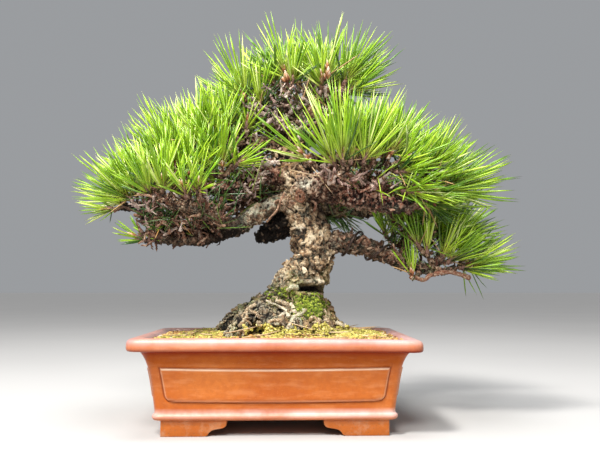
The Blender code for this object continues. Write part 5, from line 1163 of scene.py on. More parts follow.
# ---------------------------------------------------------------------------------- needles
def needle(pile, base, d, length, width, bend, tone, sides=3, segments=4):
    """One needle: a thin three-sided blade, its base in the sheath, tapering to a point."""
    side = d.cross(bend)
    if side.length < 1e-4:
        side = d.orthogonal()
    side.normalize()
    flat = side.cross(d).normalized()
    verts, tones = [], []
    profile = (0.8, 1.0, 1.0, 0.85)
    for i in range(segments):
        t = i / segments
        p = base + d * (length * t) + bend * (length * t * t)
        w = width * 0.5 * profile[i]
        for k in range(sides):
            th = 2 * math.pi * k / sides + 0.5
            verts.append(p + side * (w * math.cos(th)) + flat * (w * 0.8 * math.sin(th)))
            tones.append((t, tone[0], tone[1], tone[2]))
    verts.append(base + d * length + bend * length)
    tones.append((1.0, tone[0], tone[1], tone[2]))
    faces = []
    for i in range(segments - 1):
        for k in range(sides):
            a, b = i * sides + k, i * sides + (k + 1) % sides
            faces.append((a, b, b + sides, a + sides))
    tip = len(verts) - 1
    last = (segments - 1) * sides
    for k in range(sides):
        faces.append((last + k, last + (k + 1) % sides, tip))
    faces.append(tuple(reversed(range(sides))))
    pile.add(verts, faces, tones)


def jitter(r):
    return Vector((r.uniform(-1, 1), r.uniform(-1, 1), r.uniform(-1, 1)))


UP = Vector((0, 0, 1))
buds = Pile()
# two fat buds of the crown that nothing covers: where they stand in the front elevation, and how far back
CLEAR = ((285.6, 73.5, -9.0), (327.6, 73.0, -11.0))


def covers(p, d, length):
    """Whether a needle passes in front of one of the two clear buds."""
    pts = np.array([tuple(p + d * (length * t)) for t in (0.05, 0.15, 0.25, 0.36, 0.5, 0.65, 0.8)])
    u, v = project(pts)
    return any((((u - a) / 3.6) ** 2 + ((v - b) / 6.5) ** 2 < 1)[pts[:, 1] < y].any() for a, b, y in CLEAR)


# shoots whose winter bud shows between the needles, seen from the front
OPEN = {
    (286.5, 79, -7): 0.95, (327.5, 78, -9): 1.15, (228, 129, -10): 0.62, (217, 139, -12): 0.6, (191, 177, -26): 0.62, (222, 168, -25): 0.55,
    (246, 100, -5): 0.6, (389, 156, -38): 0.6, (447, 186, -31): 0.6, (412, 276, -19): 0.62, (466, 265, -7): 0.55, (310, 160, -43): 0.62,
}
for name, (limb, place, shoots) in CLUMPS.items():
    rng = random.Random("n" + name)
    pile = Pile()
    for foot, lean, length, pairs, spread in shoots:
        base = seen(*foot)
        d = Vector(lean).normalized()
        a = d.orthogonal().normalized()
        b = d.cross(a)
        shoot_tone = rng.random()
        # painted shade: shoots that point down get a dark green; some needles at a shoot's base get older, darker
        # tones, partly painted shade
        shade = 0.45 if d.z < -0.2 else 0.0
        pairs = max(4, round(pairs * (0.58 if foot[0] > 330 and foot[1] < 190 else 0.64)))
        bare = foot in OPEN
        wide = 1.22 if foot[0] < 264 else 1.16 if foot[1] < 100 else 1.0
        for i in range(pairs):
            s = i / pairs
            th = i * 2.39996 + rng.uniform(-0.4, 0.4)
            out = a * math.cos(th) + b * math.sin(th)
            if bare and out.y < (-0.3 if OPEN[foot] > 0.8 else -0.6) and s < 0.9 * OPEN[foot] and rng.random() < 0.95:
                continue
            angle = math.radians(max(1.0, (1.30 - 1.08 * s) * spread * wide + rng.gauss(0, 8.5)))
            dd = (d * math.cos(angle) + out * math.sin(angle) + UP * 0.05).normalized()
            start = base + d * (0.5 + 8.5 * s) + out * 1.1
            L = length * rng.uniform(0.74, 1.08) * (0.88 + 0.12 * s)
            tone = rng.random()
            across = b * math.cos(th) - a * math.sin(th)
            shade_and_age = shade + (rng.choice((0.25, 0.4, 0.5)) if s < 0.2 and rng.random() < 0.4 else 0.0)
            for k in (-1, 1):
                fork = across * (0.06 * k) + jitter(rng) * 0.035
                bend = d * 0.03 + UP * 0.02 + jitter(rng) * 0.055
                reach, width, shift = L * rng.uniform(0.96, 1.03), rng.uniform(1.3, 1.85), rng.uniform(-0.2, 0.2)
                if 268 < foot[0] < 345 and foot[1] < 110 and covers(start, dd, L):
                    continue
                needle(pile, start + fork * 4, (dd + fork).normalized(), reach, width, bend, (clamp(tone + shift), shoot_tone, clamp(shade_and_age)))
        # a few stray needles that lie across their neighbours
        for _ in range(2):
            angle = math.radians(rng.uniform(50, 85))
            th = rng.uniform(0, 6.28)
            dd = (d * math.cos(angle) + (a * math.cos(th) + b * math.sin(th)) * math.sin(angle)).normalized()
            needle(pile, base + d * 1.5, dd, length * rng.uniform(0.5, 0.8), 1.2, jitter(rng) * 0.05, (rng.random(), shoot_tone, rng.choice((0.0, 0.3, 0.5, 0.85))))
        # the shoot itself and its winter buds
        stem = [(base - d * 2, 1.7), (base + d * 3, 1.75), (base + d * 8, 1.5)]
        if bare:
            below = 11 if OPEN[foot] > 0.8 else 2
            stem = [(base - d * below + Vector((rng.uniform(-1, 1), 1, 0)), 1.7), (base - d * below * 0.5, 1.5), (base + d * 1, 1.8), (base + d * 5, 1.6)]
        verts, faces = tube([(q, w * rng.uniform(0.8, 1.25)) for q, w in smooth_line(stem, 2.0)], 6, rng, 0.08)
        buds.add(verts, faces, [(rng.choice((0.3, 0.34, 0.9, 0.96)) if bare else rng.uniform(0.0, 0.35), rng.uniform(0, 0.1 if bare else 0.3), 0, 1) for _ in verts])
        if bare:
            # a fat scaly bud with smaller ones round it, brown below and papery at the tip
            for j in range(4):
                side = (a * math.cos(j * 2.1) + b * math.sin(j * 2.1)) * (0.0 if j == 0 else 1.6)
                dd = (d + side * 0.22 + jitter(rng) * 0.08).normalized()
                q = base + d * (-3 if OPEN[foot] > 0.8 else 1) + side + Vector((0, -2.5 if OPEN[foot] > 0.8 else -1, 0))
                h, w = (10.0 * OPEN[foot], 2.1 * OPEN[foot]) if j == 0 else (rng.uniform(5, 8) * OPEN[foot], rng.uniform(1.1, 1.6) * OPEN[foot])
                line = [(q + dd * h * t, w * v) for t, v in ((0, 0.6), (0.12, 0.95), (0.3, 1.0), (0.5, 0.92), (0.7, 0.72), (0.86, 0.45), (1.0, 0.12))]
                verts, faces = tube(line, 8, rng, 0.05)
                buds.add(verts, faces, [(clamp(0.42 + 0.085 * min(6, i // 8) + rng.uniform(-0.12, 0.12)), rng.choice((0.0, 0.1, 0.5)), 0, 1) for i in range(len(verts))])
        for k in range(3):
            q = base + d * rng.uniform(5.5, 8.5)
            dd = (d + jitter(rng) * (0.1 if k == 0 else 0.5)).normalized()
            w = rng.uniform(1.1, 1.6) if k == 0 else rng.uniform(0.7, 1.0)
            h = rng.uniform(6, 9) if k == 0 else rng.uniform(4, 6)
            line = [(q, w * 0.7), (q + dd * h * 0.25, w), (q + dd * h * 0.5, w * 0.95), (q + dd * h * 0.75, w * 0.65), (q + dd * h, w * 0.2)]
            verts, faces = tube(line, 6, rng, 0.04)
            tones = [(0.45 + 0.11 * min(4, i // 6) + rng.uniform(-0.04, 0.04), 0, 0, 1) for i in range(len(verts))]
            buds.add(verts, faces, tones)
    pile.piece(name + "_fine", NEEDLE, True, (name,), "needles")

BUDS = toned("bud_scales", [(0.0, srgb(92, 62, 52)), (0.3, srgb(150, 112, 96)), (0.43, srgb(104, 56, 30)), (0.58, srgb(158, 96, 56)), (0.70, srgb(192, 132, 88)), (0.84, srgb(220, 194, 170)), (1.0, srgb(246, 236, 220))], 0.6, 1400)
buds.piece("buds", BUDS, True, (), "bark")

# dead needles caught in the branches, and dark green needles set in the shaded hollows as painted shade
litter = Pile()
rng = random.Random(61)
for a, b in (((290, 170, -20), (326, 179, -34)), ((312, 167, -24), (334, 195, -40)), ((283, 150, -14), (306, 141, -18))):
    p, q = seen(*a), seen(*b)
    needle(litter, p, (q - p).normalized(), (q - p).length, 1.1, jitter(rng) * 0.06, (rng.random(), rng.random(), rng.uniform(0.85, 1.0)))
for count, us, vs, ys, lean, ages_and_shades in (
    (60, (150, 250), (182, 234), (-46, 10), (-0.1, -0.2, 0.2), (0.5, 0.5, 0.55, 0.5, 0.6, 0.8)),
    (80, (222, 292), (180, 212), (6, 36), (-0.1, -0.4, 0.1), (0.4, 0.45, 0.5, 0.5)),
    (36, (300, 350), (200, 226), (14, 44), (0.3, -0.3, -0.2), (0.45, 0.5, 0.5)),
    (90, (330, 430), (168, 200), (-40, 20), (0.3, -0.3, 0.2), (0.3, 0.4, 0.5, 0.85)),
    (70, (378, 450), (200, 250), (-10, 30), (0.3, -0.2, 0.5), (0.3, 0.4, 0.5, 0.5)),
    (90, (256, 348), (94, 134), (-16, 10), (0.0, -0.2, 0.4), (0.0, 0.0, 0.3, 0.45, 0.5, 0.85)),
    (190, (256, 352), (92, 138), (12, 44), (0.0, -0.1, 0.2), (0.3, 0.4, 0.45, 0.5)),
    (110, (226, 304), (136, 178), (12, 48), (0.0, -0.2, 0.1), (0.4, 0.45, 0.5, 0.5)),
    (90, (142, 226), (203, 230), (-48, -10), (-0.1, -0.5, 0.9), (0.4, 0.5, 0.5, 0.5)),
    (60, (200, 262), (160, 205), (-26, 4), (0.1, -0.2, 0.4), (0.3, 0.4, 0.5)),
    (46, (372, 430), (168, 196), (-46, -28), (0.7, -0.3, 0.0), (0.0, 0.0, 0.3, 0.4, 0.5)),
    (170, (386, 462), (204, 262), (-14, 26), (0.5, -0.2, 0.5), (0.0, 0.2, 0.3, 0.4, 0.5)),
    (70, (380, 440), (196, 222), (-24, 20), (0.6, -0.2, -0.1), (0.2, 0.3, 0.4, 0.5)),
):
    for _ in range(count):
        p = seen(rng.uniform(*us), rng.uniform(*vs), rng.uniform(*ys))
        d = (jitter(rng) + Vector(lean)).normalized()
        needle(litter, p, d, rng.uniform(13, 30) * (0.55 if d.z < -0.2 and us[1] < 300 else 1.0), rng.uniform(0.9, 1.25), jitter(rng) * 0.12, (rng.random(), rng.random(), rng.choice(ages_and_shades)))
litter.piece("dead_and_shade_needles", NEEDLE, True, (), "needles")

# ---------------------------------------------------------------------------------- pot
RIM_LENGTH, RIM_DEPTH = 203.5, 152.0
CORNER_RADIUS = 9.0
FOOT_HEIGHT = 11.0
DRAIN_RADIUS, DRAIN_X = 11.0, 44.0
OUTER = [
    (11.0, 20.0), (11.0, 18.4), (11.4, 17.4), (12.2, 16.6), (13.3, 16.2), (14.4, 16.3), (15.2, 16.9), (15.7, 17.5), (16.4, 17.7),
    (20.0, 17.4), (24.0, 16.9), (28.0, 16.4), (32.0, 15.9), (36.0, 15.3), (40.0, 14.7), (44.0, 13.9), (47.5, 13.1), (50.5, 12.2), (53.0, 11.3), (55.2, 10.3), (57.0, 9.2), (58.2, 8.2),
    (58.9, 7.2), (59.2, 6.2), (59.2, 2.0), (59.35, 1.0), (60.0, 0.3), (61.0, 0.0), (63.6, 0.0), (65.0, 0.15), (66.2, 0.6), (67.1, 1.4), (67.7, 2.6), (68.0, 4.2),
]
INNER = [(68.0, 7.4), (67.7, 8.4), (66.9, 9.6), (64.0, 12.0), (58.0, 15.6), (48.0, 19.2), (34.0, 21.6), (20.5, 22.4), (17.6, 23.4), (17.0, 26.0)]


def warp(p):
    """The lip of this hand-pressed pot sags a little at its front right corner."""
    k = max(0.0, min(1.0, (p.z - 50.0) / 14.0))
    a = max(0.0, min(1.0, (p.x - 10.0) / 90.0)) ** 1.6
    b = max(0.0, min(1.0, 0.5 - p.y / RIM_DEPTH))
    return Vector((p.x, p.y, p.z - 1.8 * k * a * b))


def interpolate(table, z):
    for (z0, a), (z1, b) in zip(table, table[1:]):
        if min(z0, z1) <= z <= max(z0, z1) and z0 != z1:
            return a + (b - a) * (z - z0) / (z1 - z0)
    return table[-1][1]


def densify(table, spacing, zones=()):
    """Rounds a profile with Catmull-Rom and resamples it; zones are (low, high, spacing) in height."""
    pts = [table[0]] + list(table) + [table[-1]]
    fine = []
    for i in range(1, len(pts) - 2):
        p0, p1, p2, p3 = (Vector(pts[k]) for k in (i - 1, i, i + 1, i + 2))
        for k in range(24):
            t = k / 24
            fine.append(0.5 * ((2 * p1) + (p2 - p0) * t + (2 * p0 - 5 * p1 + 4 * p2 - p3) * t * t + (3 * p1 - p0 - 3 * p2 + p3) * t ** 3))
    fine.append(Vector(table[-1]))
    out = [fine[0]]
    for q in fine[1:]:
        gap = spacing
        for low, high, s in zones:
            if low <= q.x <= high:
                gap = min(gap, s)
        if (q - out[-1]).length >= gap:
            out.append(q)
    if (out[-1] - fine[-1]).length > 1e-6:
        out.append(fine[-1])
    return [(q.x, q.y) for q in out]


def shares(count, dense):
    """Places along a straight side, -1 to 1, closer together where the panel's end lies."""
    low, high, gap = dense
    half = [high + (1 - high) * k / 3 for k in (3, 2, 1)]
    q = high
    while q > low:
        half.append(q)
        q -= gap
    half += [low * (1 - k / count) for k in range(count)]
    return [-q for q in half] + [0.0] + [q for q in reversed(half)]


LONG = shares(14, (0.925, 0.992, 0.0042))
SHORT = shares(11, (0.93, 0.995, 0.0056))


def ring(inset, z, arc=9):
    hx, hy = RIM_LENGTH / 2 - inset, RIM_DEPTH / 2 - inset
    r = max(2.5, CORNER_RADIUS - inset * 0.22)
    out = []
    sx, sy = hx - r, hy - r
    for s in LONG[:-1]:
        out.append((s * sx, -hy))
    for k in range(arc):
        a = math.radians(-90 + 90 * k / arc)
        out.append((sx + r * math.cos(a), -sy + r * math.sin(a)))
    for s in SHORT[:-1]:
        out.append((hx, s * sy))
    for k in range(arc):
        a = math.radians(90 * k / arc)
        out.append((sx + r * math.cos(a), sy + r * math.sin(a)))
    for s in LONG[:-1]:
        out.append((-s * sx, hy))
    for k in range(arc):
        a = math.radians(90 + 90 * k / arc)
        out.append((-sx + r * math.cos(a), sy + r * math.sin(a)))
    for s in SHORT[:-1]:
        out.append((-hx, -s * sy))
    for k in range(arc):
        a = math.radians(180 + 90 * k / arc)
        out.append((-sx + r * math.cos(a), -sy + r * math.sin(a)))
    return [Vector((x, y, z)) for x, y in out]


def panel_depth(s, z, half_top, half_bottom):
    """How far inside the raised panel's outline a place is, and whether the nearest edge is the upper one."""
    low, high, corner = 24.2, 47.4, 4.6
    z = z + 1.0 * (1 - (s / half_top) ** 2)
    half = half_bottom + (half_top - half_bottom) * (z - low) / (high - low)
    inx, top, bottom = half - abs(s), high - z, z - low
    d = min(inx, top, bottom)
    if bottom < corner and inx < corner:
        d = corner - math.hypot(corner - bottom, corner - inx)
    return d, top <= min(inx, bottom)


def panel_lift(s, z, half_top, half_bottom):
    """How far a wall stands proud inside its raised panel."""
    d, _ = panel_depth(s, z, half_top, half_bottom)
    if d < -1.6:
        return 0.0
    if d < 0:
        return -0.5 * (1 - abs(d + 0.5) / 0.95) if abs(d + 0.5) < 0.95 else 0.0
    a = min(1.0, d / 0.6)
    b = min(1.0, max(0.0, (d - 0.6) / 2.6))
    return 1.15 * a * a * (3 - 2 * a) + 0.65 * math.sin(b * math.pi / 2) - 0.24 * (1 - a)


def panel_highlight_and_shade(s, z, half_top, half_bottom):
    """Painted highlight on the panel's upper edge, painted shade in the crease round it."""
    d, upper = panel_depth(s, z, half_top, half_bottom)
    light = math.exp(-((d - 0.75) / 0.62) ** 2) * (1.0 if upper else 0.22)
    crease = math.exp(-((d + 0.35) / 0.5) ** 2) * (0.5 if upper else 1.0)
    return light, crease


def pot_wall():
    outer = densify(OUTER, 1.6, ((10.5, 17.0, 0.45), (22.4, 31.0, 0.5), (42.5, 48.6, 0.38), (57.5, 68.1, 0.5)))
    inner = densify(INNER, 2.5, ((66, 68.1, 0.5),))
    rows, marks = [], []
    for z, inset in outer:
        row = ring(inset, z)
        mark = [(0.0, 0.0)] * len(row)
        if 20.0 < z < 50.0:
            hx, hy = RIM_LENGTH / 2 - inset, RIM_DEPTH / 2 - inset
            moved, mark = [], []
            for p in row:
                here = (0.0, 0.0)
                if abs(p.y + hy) < 1e-3:
                    here = panel_highlight_and_shade(p.x, z, 79.6, 75.6)
                    p = p + Vector((0, -panel_lift(p.x, z, 79.6, 75.6), 0))
                elif abs(p.y - hy) < 1e-3:
                    here = panel_highlight_and_shade(-p.x, z, 79.6, 75.6)
                    p = p + Vector((0, panel_lift(-p.x, z, 79.6, 75.6), 0))
                elif abs(p.x - hx) < 1e-3:
                    here = panel_highlight_and_shade(p.y, z, 54.6, 51.0)
                    p = p + Vector((panel_lift(p.y, z, 54.6, 51.0), 0, 0))
                elif abs(p.x + hx) < 1e-3:
                    here = panel_highlight_and_shade(-p.y, z, 54.6, 51.0)
                    p = p + Vector((-panel_lift(-p.y, z, 54.6, 51.0), 0, 0))
                moved.append(p)
                mark.append(here)
            row = moved
        rows.append([warp(p) for p in row])
        marks.extend((a, b, 0.0, 1.0) for a, b in mark)
    for z, inset in inner + [(14.0, 26.5), (11.0, 26.0)]:
        rows.append([warp(p) for p in ring(inset, z)])
        marks.extend([(0.0, 0.0, 0.0, 1.0)] * len(rows[-1]))
    n = len(rows[0])
    verts = [tuple(p) for row in rows for p in row]
    faces = []
    for i in range(len(rows)):
        j = (i + 1) % len(rows)
        for k in range(n):
            m = (k + 1) % n
            faces.append((i * n + k, i * n + m, j * n + m, j * n + k))
    return verts, faces, marks


def holed_slab(z0, z1, hx, hy, holes):
    """The pot's floor: a slab with round holes, built by an exact Boolean on a coarse body."""
    bm = bmesh.new()
    bmesh.ops.create_cube(bm, size=1.0)
    for q in bm.verts:
        q.co = Vector((q.co.x * hx * 2, q.co.y * hy * 2, (z0 + z1) / 2 + q.co.z * (z1 - z0)))
    me = bpy.data.meshes.new("slab")
    bm.to_mesh(me)
    bm.free()
    ob = bpy.data.objects.new("slab", me)
    bpy.context.scene.collection.objects.link(ob)
    cutters = []
    for x, y, r in holes:
        cut = bmesh.new()
        n = 48
        low = [cut.verts.new((x + r * math.cos(2 * math.pi * k / n), y + r * math.sin(2 * math.pi * k / n), z0 - 4)) for k in range(n)]
        high = [cut.verts.new((v.co.x, v.co.y, z1 + 4)) for v in low]
        cut.faces.new(list(reversed(low)))
        cut.faces.new(high)
        for k in range(n):
            cut.faces.new((low[k], low[(k + 1) % n], high[(k + 1) % n], high[k]))
        cme = bpy.data.meshes.new("cut")
        cut.to_mesh(cme)
        cut.free()
        cob = bpy.data.objects.new("cut", cme)
        bpy.context.scene.collection.objects.link(cob)
        cutters.append(cob)
        m = ob.modifiers.new("hole", "BOOLEAN")
        m.operation = "DIFFERENCE"
        m.solver = "EXACT"
        m.object = cob
    b = ob.modifiers.new("edge", "BEVEL")
    b.width = 0.5
    b.segments = 2
    b.limit_method = "ANGLE"
    made = evaluated(ob)
    for o in cutters + [ob]:
        bpy.data.objects.remove(o, do_unlink=True)
    verts = [tuple(v.co) for v in made.vertices]
    faces = [tuple(p.vertices) for p in made.polygons]
    return verts, faces


def foot(sx, sy):
    """One bracket foot: an L of two arms round the corner, each free end cut in a small cloud curve, every edge eased."""
    h = FOOT_HEIGHT + 1.2

    def arm(top, low):
        return [(low, 0.0), (low + 1.4, 0.5), (low + 2.4, 1.4), (low + 3.2, 2.7), (low + 4.7, 3.9), (low + 6.8, 4.6), (low + 9.4, 5.0), (top - 2.6, 5.6), (top - 1.0, 6.4), (top - 0.1, 7.8), (top, 9.2), (top, h)]

    thick = 10.0
    bm = bmesh.new()

    def plate(profile, along, inward, start):
        outline = [(start, 0.0)] + profile + [(start, h)]
        a = [bm.verts.new(Vector((0, 0, z)) + along * x) for x, z in outline]
        b = [bm.verts.new(Vector((0, 0, z)) + along * x + inward * thick) for x, z in outline]
        return a, b, outline

    ex, ey = Vector((1, 0, 0)), Vector((0, 1, 0))
    a, b, outline = plate(arm(45.6, 30.5), ex, ey, 0.0)
    n = len(outline)
    bm.faces.new(a)
    bm.faces.new(list(reversed(b)))
    for i in range(n):
        bm.faces.new((a[i], b[i], b[(i + 1) % n], a[(i + 1) % n]))
    bmesh.ops.recalc_face_normals(bm, faces=bm.faces)
    first = bm
    bm = bmesh.new()
    c, d, outline = plate(arm(34.0, 20.0), ey, ex, 0.0)
    n = len(outline)
    bm.faces.new(c)
    bm.faces.new(list(reversed(d)))
    for i in range(n):
        bm.faces.new((c[i], d[i], d[(i + 1) % n], c[(i + 1) % n]))
    bmesh.ops.recalc_face_normals(bm, faces=bm.faces)
    objects = []
    for k, each in enumerate((first, bm)):
        me = bpy.data.meshes.new("arm")
        each.to_mesh(me)
        each.free()
        ob = bpy.data.objects.new("arm", me)
        bpy.context.scene.collection.objects.link(ob)
        objects.append(ob)
    m = objects[0].modifiers.new("join", "BOOLEAN")
    m.operation = "UNION"
    m.solver = "EXACT"
    m.object = objects[1]
    e = objects[0].modifiers.new("edge", "BEVEL")
    e.width = 0.6
    e.segments = 3
    e.limit_method = "ANGLE"
    e.angle_limit = math.radians(48)
    made = evaluated(objects[0])
    for ob in objects:
        bpy.data.objects.remove(ob, do_unlink=True)
    verts = [(sx * (79.3 - v.co.x), sy * (57.0 - v.co.y), v.co.z) for v in made.vertices]
    faces = [tuple(p.vertices) for p in made.polygons]
    return verts, faces


def terracotta():
    """Fired clay, smoothed by hand: warm orange, painted highlights on the rim, belt and panel edge, painted shade
    under the rim and round the panel, a whitish bloom on the feet, small stains near the belt.
    """
    k = Nodes("terracotta")
    broad = k.noise(22, 3, 0.55)
    base = k.ramp(broad, [(0.3, srgb(174, 82, 16)), (0.5, srgb(187, 95, 24)), (0.7, srgb(197, 108, 38))])
    base = k.mix(k.grey(k.noise(260, 4, 0.6), [(0.40, 0.22), (0.58, 0.0)]), base, srgb(152, 66, 16))
    base = k.mix(k.grey(k.noise(900, 2, 0.6), [(0.62, 0.0), (0.74, 0.12)]), base, srgb(240, 176, 130))
    smears = k.node("ShaderNodeMapping")
    k.link(k.where(), smears.inputs["Vector"])
    smears.inputs["Scale"].default_value = (0.35, 0.35, 1.6)
    base = k.mix(k.grey(k.noise(150, 4, 0.6, 0.0, smears.outputs["Vector"]), [(0.50, 0.0), (0.66, 0.20)]), base, srgb(226, 160, 110))
    light, crease, _, _ = k.channels("tone")
    xyz = k.node("ShaderNodeSeparateXYZ")
    k.link(k.where(), xyz.inputs["Vector"])
    z = xyz.outputs["Z"]
    # painted shadow: a dark band on the wall under the rim, darkest right beneath the lip
    base = k.mix(k.grey(z, [(0.0474, 0.0), (0.0486, 0.18), (0.0530, 0.28), (0.0565, 0.62), (0.0588, 1.0), (0.0610, 1.0), (0.0616, 0.65), (0.0626, 0.0)]), base, srgb(116, 20, 0))
    # painted shade: a darker band on the wall between the belt and the panel
    base = k.mix(k.grey(z, [(0.0166, 0.0), (0.0172, 0.4), (0.0200, 0.12), (0.0240, 0.0)]), base, srgb(150, 66, 12))
    stain = k.math("MULTIPLY", k.grey(k.noise(700, 3, 0.7), [(0.60, 0.0), (0.68, 0.9)]), k.grey(k.math("MULTIPLY", z, 1.0), [(0.0, 0.9), (0.0105, 0.8), (0.0125, 0.12), (0.0162, 0.5), (0.019, 0.10), (0.03, 0.03)]))
    base = k.mix(stain, base, srgb(104, 78, 52))
    # painted highlight: a whitish band along the top of the belt and across the rim, then a painted cool reflection on
    # the rim's face
    edge_highlight = k.math("MULTIPLY", k.grey(k.noise(34, 4, 0.6), [(0.34, 0.35), (0.6, 1.0)]), k.grey(z, [(0.0108, 0.0), (0.0122, 0.08), (0.0136, 0.22), (0.0146, 0.72), (0.0156, 0.88), (0.0161, 0.25), (0.0164, 0.0), (0.0612, 0.0), (0.0622, 0.14), (0.0634, 0.32), (0.0648, 0.40), (0.0658, 0.78), (0.0668, 0.55), (0.0675, 0.12), (0.068, 0.0)]))
    base = k.mix(edge_highlight, base, srgb(232, 204, 200))
    sheen = k.math("MULTIPLY", k.grey(k.noise(26, 3, 0.6), [(0.36, 0.45), (0.56, 1.0)]), k.grey(z, [(0.0632, 0.0), (0.0642, 0.20), (0.0654, 0.50), (0.0662, 0.50), (0.0667, 0.15), (0.0671, 0.0)]))
    base = k.mix(sheen, base, srgb(158, 140, 160))
    # painted highlight along the panel's upper edge and painted shade in the crease round the panel
    base = k.mix(k.math("MULTIPLY", light, k.grey(k.noise(40, 3, 0.6), [(0.3, 0.55), (0.6, 1.0)])), base, srgb(250, 226, 196))
    base = k.mix(k.math("MULTIPLY", crease, 0.75), base, srgb(112, 34, 8))
    bloom = k.math("MULTIPLY", k.grey(k.noise(120, 4, 0.65), [(0.5, 0.0), (0.68, 0.35)]), k.grey(z, [(0.0, 0.9), (0.0112, 0.75), (0.0122, 0.0)]))
    base = k.mix(bloom, base, srgb(206, 186, 160))
    # painted shade: a thin darker line where the feet meet the underside of the belt
    base = k.mix(k.grey(z, [(0.0108, 0.35), (0.0114, 0.0)]), base, srgb(150, 84, 30))
    k.bump(k.math("ADD", k.noise(1500, 3, 0.6), k.math("MULTIPLY", k.noise(160, 3, 0.5), 1.2)), 0.10, 0.0009)
    k.link(k.grey(z, [(0.0474, 0.6), (0.0500, 0.22), (0.0600, 0.12), (0.0610, 0.6)]), k.bsdf.inputs["Specular IOR Level"])
    return k.finish(base, k.grey(broad, [(0.3, 0.27), (0.7, 0.34)]), Specular_Tint=(1.0, 0.74, 0.56, 1.0))


POT = terracotta()
pot = Pile()
pot.add(*pot_wall())
pot.add(*holed_slab(11.05, 17.0, 77.0, 51.5, [(-DRAIN_X, 0, DRAIN_RADIUS), (DRAIN_X, 0, DRAIN_RADIUS), (-8, 0, 2.2), (8, 0, 2.2)]))
for sx in (-1, 1):
    for sy in (-1, 1):
        pot.add(*foot(sx, sy))
pot_piece = pot.piece("pot_fine", POT, True, ("pot",), "terracotta")
fix = bmesh.new()
fix.from_mesh(pot_piece.data)
bmesh.ops.recalc_face_normals(fix, faces=fix.faces)
fix.to_mesh(pot_piece.data)
fix.free()
pot_piece.data.set_sharp_from_angle(angle=math.radians(38))


# ---------------------------------------------------------------------------------- soil and moss
def soil_height(x, y):
    """The surface of the soil: just under the lip at the wall, mounded up to the roots."""
    base = seen(287, 330, 0)
    d2 = ((x - base.x) / 66.0) ** 2 + ((y - 2.0) / 46.0) ** 2
    return 65.2 + 6.2 * np.exp(-d2 * 1.3) + 0.5 * np.sin(x * 0.11 + 1.0) * np.cos(y * 0.13)


def soil_fine():
    """A closed body of soil: smooth below, crumbly on top."""
    levels = [25.4, 34.0, 48.0, 58.0, 62.0, 64.0]
    rows = []
    for z in levels:
        rows.append([np.array(warp(p)) for p in ring(interpolate(INNER, z) + 0.7, z)])
    edge = np.array(rows[-1])
    centre = edge.mean(axis=0)
    n = len(edge)
    loops = 46
    for k in range(1, loops):
        t = 1 - k / loops
        flat = centre + (edge - centre) * t
        h = soil_height(flat[:, 0], flat[:, 1])
        q = np.stack([flat[:, 0], flat[:, 1], np.zeros(n)], axis=1)
        h = h + (0.55 * fractal(q, 5.0, 41, 3) + 0.35 * fractal(q, 1.8, 42, 2)) * min(1.0, k / 3)
        rows.append(list(np.stack([flat[:, 0], flat[:, 1], h], axis=1)))
    verts = [tuple(p) for row in rows for p in row]
    faces = [tuple(reversed(range(n)))]
    for i in range(len(rows) - 1):
        for k in range(n):
            m = (k + 1) % n
            faces.append((i * n + k, i * n + m, (i + 1) * n + m, (i + 1) * n + k))
    verts.append((centre[0], centre[1], float(soil_height(centre[0], centre[1]))))
    last = (len(rows) - 1) * n
    for k in range(n):
        faces.append((last + k, last + (k + 1) % n, len(verts) - 1))
    return verts, faces


SOIL = simple("soil", [(0.3, srgb(112, 84, 48)), (0.5, srgb(160, 124, 74)), (0.7, srgb(198, 160, 100))], 420, 0.95, 0.8, 0.001, srgb(120, 112, 44))
mesh_object("soil_fine", *soil_fine(), SOIL, True, ("soil",), "soil")

ICO_V, ICO_F = None, None
seedm = bmesh.new()
bmesh.ops.create_icosphere(seedm, subdivisions=1, radius=1.0)
ICO_V = np.array([tuple(v.co) for v in seedm.verts])
ICO_F = np.array([[v.index for v in f.verts] for f in seedm.faces])
seedm.free()


def blobs(name, centres, sizes, tones, mat, seed, squash=0.75, rough=0.25, replaces=(), smooth=True):
    """Many small lumps in one piece."""
    r = np.random.default_rng(seed)
    m = len(centres)
    base = np.tile(ICO_V[None], (m, 1, 1)) * (1 + r.uniform(-rough, rough, (m, len(ICO_V), 1)))
    turn = r.uniform(0, 2 * np.pi, m)
    c, s = np.cos(turn)[:, None], np.sin(turn)[:, None]
    x, y, z = base[:, :, 0], base[:, :, 1], base[:, :, 2]
    tilt = r.uniform(-0.6, 0.6, m)[:, None]
    y, z = y * np.cos(tilt) - z * np.sin(tilt), y * np.sin(tilt) + z * np.cos(tilt)
    wide = r.uniform(0.75, 1.25, m)[:, None]
    base = np.stack([(x * c - y * s) * wide, x * s + y * c, z * squash], axis=2) * sizes[:, None, None]
    verts = (centres[:, None, :] + base).reshape(-1, 3)
    tris = (ICO_F[None] + (np.arange(m) * len(ICO_V))[:, None, None]).reshape(-1, 3)
    me = fast_mesh(name, verts * MM + np.array(SHIFT), tris)
    tone = np.repeat(tones, len(ICO_V), axis=0)
    return dress(name, me, mat, smooth, replaces, {"tone": tone})


def scattered(count, seed, inset=13.2):
    r = np.random.default_rng(seed)
    hx, hy = RIM_LENGTH / 2 - inset, RIM_DEPTH / 2 - inset
    x, y = r.uniform(-hx, hx, count), r.uniform(-hy, hy, count)
    return x, y, r


def wood_clear(x, y, z):
    """False where the trunk or a root stands over the point."""
    out = np.ones(len(x), dtype=bool)
    for i in range(len(x)):
        hit = TRUNK_TREE.ray_cast(Vector((x[i], y[i], z[i] + 1.2)), Vector((0, 0, 1)))
        out[i] = hit[0] is None or hit[2] is None or hit[3] > 14.0
    return out


